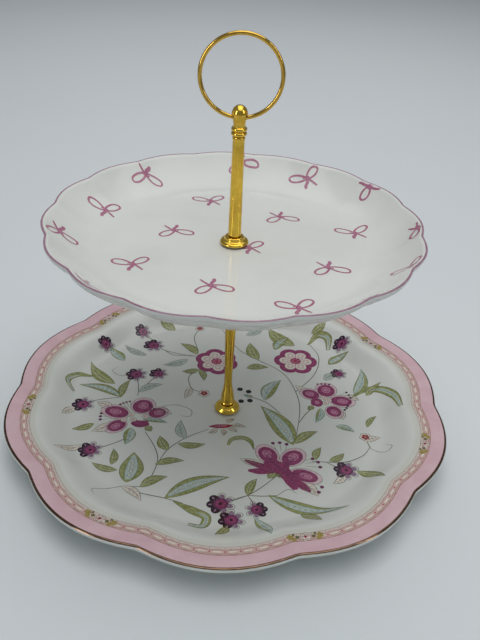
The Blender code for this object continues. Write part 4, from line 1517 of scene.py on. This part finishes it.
@dataclass
class Column:
    """The column: both lengths, the finial, and the hidden stud and bolt that hold it together."""

    lower_length: float = 0.1012
    upper_length: float = 0.0540
    radius: float = 0.00345
    waist: float = 0.0023
    chamfer: float = 0.0003
    socket: float = 0.0021
    socket_depth: float = 0.0095
    spigot: float = 0.0015
    spigot_length: float = 0.0060
    thread: float = 0.0019
    ring_hole: float = 0.001347
    ring_hole_z: float = 0.190953
    thread_row: float = 0.00009

    def bottom_socket(self) -> list[Point]:
        """The socket for a thread at a length's bottom end."""
        return [(self.socket, 0), (self.socket, self.socket_depth), (0, self.socket_depth)]

    def lower_outline(self) -> list[Point]:
        """The lower length: a straight neck, a narrow waist, a flared foot and a bead."""
        length, straight_down_to = self.lower_length, self.lower_length - 0.0150
        depth, swell, flare = length - self.socket_depth, 0.00115, 0.0017
        outline = [(0, depth), (self.socket, depth), (self.socket, length)]
        outline += [(self.radius - self.chamfer, length), (self.radius, length - self.chamfer)]
        outline += [(self.radius, straight_down_to)]
        neck = [(self.radius, straight_down_to), (self.waist + swell * 0.62, length * 0.52)]
        neck += [(self.waist + swell * 0.25, length * 0.33), (self.waist, 0.0210)]
        outline += [tuple(p) for p in flowing(neck, 0.0025)[1:]]
        for up in np.linspace(1, 0, 14)[1:]:
            outline.append((self.waist + flare * (1 - float(smoothstep(up))), 0.0020 + 0.0145 * float(up)))
        return outline + arc((0.0035, 0.0008), 0.0008, 60, -60, 7) + self.bottom_socket()

    def upper_outline(self) -> list[Point]:
        """The upper length: a plain taper under a small collar."""
        length, collar, bore, depth = self.upper_length, 0.0032, 0.0017, 0.0070
        outline = [(0, length - depth), (bore, length - depth), (bore, length)]
        outline += [(collar - self.chamfer, length), (collar, length - self.chamfer)]
        outline += [(collar, length - 0.0017), (0.0030, length - 0.0020)]
        outline += [(self.radius, self.chamfer), (self.radius - self.chamfer, 0)]
        return outline + self.bottom_socket()

    def finial_outline(self) -> list[Point]:
        """The finial: a dome on a waisted neck, over two beads and a spigot."""
        outline = arc((0, 0.0108), 0.0040, 90, 0, 14, 1.125)
        neck_top, neck_bottom, neck_length = 0.0104, 0.0046, 0.0058
        outline += [(0.0036, neck_top), (0.0034, 0.0100), (0.0033, neck_top - neck_length * 0.42)]
        outline += [(0.0030, neck_bottom + neck_length * 0.22), (0.0030, 0.0048)]
        bead, bead_out = 0.00115, 0.00285
        outline += arc((bead_out, 3 * bead), bead, 80, -80, 11) + arc((bead_out, bead), bead, 80, -80, 11)
        end, chamfer = -self.spigot_length, 0.0004
        outline += [(self.spigot, 0), (self.spigot, end + chamfer)]
        return outline + [(self.spigot - chamfer, end), (0, end)]

    def build(self) -> None:
        """Makes every piece of the column."""
        ColumnTurning("lower_column", "lower_column", self.lower_outline(), 0.0003).build()
        ColumnTurning("upper_column", "upper_post", self.upper_outline(), 0.0004).build()
        finial = ColumnTurning("finial", "upper_post", self.finial_outline(), 0.00035).build()
        self.cross_hole(finial)
        self.stud()
        self.bolt()

    def cross_hole(self, finial: bpy.types.Object) -> None:
        """Drills the hole that the ring hangs in."""
        sides = 32
        angle = np.arange(sides) * 2 * math.pi / sides
        y, z = self.ring_hole * np.cos(angle), self.ring_hole_z + self.ring_hole * np.sin(angle)
        points = np.vstack([np.column_stack([0 * angle + x, y, z]) for x in (-0.01, 0.01)])
        ends = [tuple(reversed(range(sides))), tuple(range(sides, 2 * sides))]
        faces = ends + quads(2, sides, False, True)
        drill = new_piece("finial_drill", points, faces, finial.data.materials[0])
        outward(drill)
        cut_away(finial, drill, 38)

    def stud(self) -> None:
        """Makes the stud that joins the two lengths."""
        low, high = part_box("column_stud")[0].z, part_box("column_stud")[1].z
        rows = int((high - low) / self.thread_row)
        chamfer = 0.0004
        outline = [(0, high), (self.thread - chamfer, high)]
        outline += [(self.thread, z) for z in np.linspace(high - chamfer, low + chamfer, rows)]
        outline += [(self.thread - chamfer, low), (0, low)]
        points, faces = turned(outline, 0.0, 48, thread=Thread(low, high))
        piece = new_piece("column_stud_threaded", points, faces, STEEL.make("column_stud"), crease=60)
        fit(piece, "lower_column", "plated_steel", "column_stud")

    def bolt(self) -> None:
        """Makes the slotted bolt under the lower plate."""
        low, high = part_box("base_bolt")[0].z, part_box("base_bolt")[1].z
        head, under, chamfer = 0.0055, low + 0.0017, 0.0004
        rows = int((high - under - 0.0008) / self.thread_row)
        outline = [(0, high), (self.thread - chamfer, high)]
        outline += [(self.thread, z) for z in np.linspace(high - chamfer, under + 0.0002, rows)]
        corners = [(self.thread, under + 0.0001), (0.0020, under), (head, under), (head, low), (0, low)]
        outline += softened(corners, 0.0007, False, 7)
        points, faces = turned(outline, 0.0, 64, thread=Thread(under, high))
        piece = new_piece("base_bolt_threaded", points, faces, STEEL.make("base_bolt"), crease=60)
        box = bmesh.new()
        size = Matrix.Diagonal((0.02, 0.0011, 0.0016, 1))
        bmesh.ops.create_cube(box, size=1.0, matrix=Matrix.Translation((0, 0, low)) @ size)
        mesh = bpy.data.meshes.new("bolt_slot")
        box.to_mesh(mesh)
        box.free()
        slot = bpy.data.objects.new("bolt_slot", mesh)
        bpy.context.scene.collection.objects.link(slot)
        cut_away(piece, slot, 50)
        fit(piece, "base_bolt", "plated_steel", "base_bolt")


def outward(piece: bpy.types.Object) -> None:
    """Turns every face of a closed mesh outwards."""
    work = bmesh.new()
    work.from_mesh(piece.data)
    bmesh.ops.recalc_face_normals(work, faces=work.faces)
    work.to_mesh(piece.data)
    work.free()


@dataclass
class HandleRing:
    """The wire ring through the finial, split at the bottom where the wire's ends meet."""

    radius: float = 0.0198
    wire: float = 0.00105
    split: float = 0.0004
    around: int = 24
    along: int = 180

    def build(self) -> None:
        """Makes it in place of its plain node."""
        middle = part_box("handle_ring")[1].z - self.radius - self.wire
        gap = self.split / self.radius / 2
        turn = np.linspace(-math.pi / 2 + gap, 1.5 * math.pi - gap, self.along)
        ends, eased = [0.86, 1.0], 0.004
        turn = np.concatenate([turn[:1], turn[:1] + eased, turn[1:-1], turn[-1:] - eased, turn[-1:]])
        size = np.concatenate([ends, np.ones(self.along - 2), ends[::-1]]) * self.wire
        round_it = (np.arange(self.around) * 2 * math.pi / self.around)[None, :]
        reach = self.radius + size[:, None] * np.cos(round_it)
        side = size[:, None] * np.sin(round_it)
        across, up = reach * np.cos(turn)[:, None], middle + reach * np.sin(turn)[:, None]
        points = np.stack([across, side, up], 2).reshape(-1, 3)
        rows = len(turn)
        faces: list[Face] = list(quads(rows, self.around, False, True))
        last = range((rows - 1) * self.around, rows * self.around)
        faces += [tuple(range(self.around)), tuple(reversed(last))]
        ring = new_piece("handle_ring_wire", points, faces, GOLD_WIRE.make("handle_ring"))
        outward(ring)
        fit(ring, "handle_ring", "gold_plate", "handle_ring")


@dataclass
class Studio:
    """The floor, the lights and the camera."""

    lens: float = 42.75
    pitch: float = 32.52
    roll: float = 2.94
    place: Spot = (0.0052, -0.3646, 0.3067)
    sensor: float = 36.0
    near: float = 0.01
    air: float = 0.28
    floor_half: float = 3.0

    def floor(self) -> None:
        """Lays the floor."""
        half, z = self.floor_half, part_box("lower_plate")[0].z
        corners = np.array([(-half, -half, z), (half, -half, z), (half, half, z), (-half, half, z)])
        piece = new_piece("studio_floor", corners, [(0, 1, 2, 3)], FloorFinish().make("studio_floor"))

    def light(
        self,
        name: str,
        place: Spot,
        size: Point,
        power: float,
        aim: Spot,
        glint: bool = False,
        spread: float = 180.0,
    ) -> None:
        """Hangs a soft light.

        Args:
            name: its name.
            place: its middle.
            size: its width and height.
            power: its power in watts.
            aim: what it points at.
            glint: whether it is only seen in reflections.
            spread: the angle in degrees into which it shines.
        """
        lamp = bpy.data.lights.new(name, "AREA")
        lamp.shape = "RECTANGLE"
        lamp.size, lamp.size_y = size
        lamp.energy = power
        lamp.spread = math.radians(spread)
        hung = bpy.data.objects.new(name, lamp)
        hung.location = place
        hung.visible_diffuse = not glint
        hung.rotation_euler = (Vector(aim) - Vector(place)).to_track_quat("-Z", "Y").to_euler()
        bpy.context.scene.collection.objects.link(hung)

    def world(self) -> None:
        """Fills the shadows from all round."""
        world = bpy.data.worlds.new("studio_air")
        world.use_nodes = True
        background = world.node_tree.nodes["Background"]
        background.inputs["Color"].default_value = (*linear("e2e9ef"), 1.0)
        background.inputs["Strength"].default_value = self.air
        bpy.context.scene.world = world

    def camera(self) -> None:
        """Stands the camera in front of the stand, looking down on it."""
        pitch, roll = math.radians(self.pitch), math.radians(self.roll)
        ahead = Vector((0, math.cos(pitch), -math.sin(pitch)))
        level, up = Vector((1, 0, 0)), Vector((0, math.sin(pitch), math.cos(pitch)))
        right = level * math.cos(roll) + up * math.sin(roll)
        above = up * math.cos(roll) - level * math.sin(roll)
        data = bpy.data.cameras.new("studio_camera")
        data.lens, data.sensor_width, data.clip_start = self.lens, self.sensor, self.near
        camera = bpy.data.objects.new("studio_camera", data)
        turn = Matrix((right, above, -ahead)).transposed().to_4x4()
        camera.matrix_world = Matrix.Translation(self.place) @ turn
        bpy.context.scene.collection.objects.link(camera)
        bpy.context.scene.camera = camera

    def set_up(self) -> None:
        """Sets up the whole studio."""
        self.floor()
        self.world()
        self.light("overhead", (0.12, 0.12, 1.3), (2.4, 1.3), 6.6, (0.03, 0.12, 0.0), spread=105.0)
        middle = (0.0, 0.0, 0.15)
        self.light("left_glint", (-0.75, -0.55, 0.45), (0.18, 0.6), 2.6, middle, glint=True)
        self.light("right_glint", (0.8, -0.35, 0.6), (0.12, 0.6), 1.4, middle, glint=True)
        self.camera()
        bpy.context.scene.view_settings.view_transform = "Standard"


LOWER_FORM = PlateForm(
    node="lower_plate",
    lobes=10,
    turn=0.0,
    scallop=0.0046,
    thickness=0.0042,
    depth=0.0113,
    rim_wall=0.0040,
    flange_width=0.0135,
    flange_rise=0.0012,
    wall_run=0.0240,
    crest=1.0,
    foot_radius=0.0685,
    foot_height=0.0050,
)
UPPER_FORM = PlateForm(
    node="upper_plate",
    lobes=16,
    turn=math.radians(17.25),
    scallop=0.0022,
    thickness=0.0037,
    depth=0.0147,
    rim_wall=0.0024,
    flange_width=0.0012,
    flange_rise=0.0004,
    wall_run=0.0280,
    crest=0.0,
    foot_radius=0.0600,
    foot_height=0.0032,
)
CUP_BORE, CUP_CROWN, CUP_RADIUS, CUP_HEIGHT = 0.0023, 0.0047, 0.0076, 0.0041
CUP_SPREAD = 0.0029  # from the crown to the edge
CUP_TOP = [(CUP_BORE, CUP_HEIGHT), (CUP_CROWN, CUP_HEIGHT)]
DOMED = CUP_TOP + [
    (CUP_CROWN + CUP_SPREAD * 0.42, CUP_HEIGHT * 0.80),
    (CUP_CROWN + CUP_SPREAD * 0.80, CUP_HEIGHT * 0.52),
    (CUP_RADIUS, CUP_HEIGHT * 0.26),
    (CUP_RADIUS, CUP_HEIGHT * 0.12),
]
STEPPED = CUP_TOP + [
    (0.0052, CUP_HEIGHT * 0.88),
    (0.0052, CUP_HEIGHT * 0.62),
    (0.0057, CUP_HEIGHT * 0.52),
    (0.0070, CUP_HEIGHT * 0.44),
    (CUP_RADIUS, CUP_HEIGHT * 0.28),
    (CUP_RADIUS, CUP_HEIGHT * 0.12),
]


def main() -> None:
    """Builds the stand from the table up, then the studio round it."""
    logging.basicConfig(level=logging.INFO, format="%(name)s: %(message)s")
    # the lower glaze darkens to painted shade just inside the border
    lower = FlowerPlate(LOWER_FORM, "lower_plate", "lower_glaze", GlazeFinish(painted_shade_edge=0.35, foot_z=0.0))
    lower.build()
    lower.dress()
    upper_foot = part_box("upper_plate")[0].z
    upper = BowPlate(UPPER_FORM, "upper_plate", "upper_glaze", GlazeFinish(foot_z=upper_foot))
    upper.build()
    upper.dress()
    for washer in (
        Washer("base_washer", "base_seat", "plated_steel", STEEL, 0.0070, 0.0006, 0.00015),
        Washer("base_rubber_washer", "lower_plate"),
        Washer("lower_rubber_washer", "lower_plate"),
        CupWasher("lower_cup_washer", "lower_column", DOMED),
        Washer("under_washer", "lower_column", "gold_plate", GOLD, 0.0072),
        Washer("under_rubber_washer", "lower_column"),
        Washer("upper_rubber_washer", "upper_seat"),
        CupWasher("upper_cup_washer", "upper_seat", STEPPED),
    ):
        washer.build()
    Column().build()
    HandleRing().build()
    Studio().set_up()


if __name__ == "__main__":
    main()
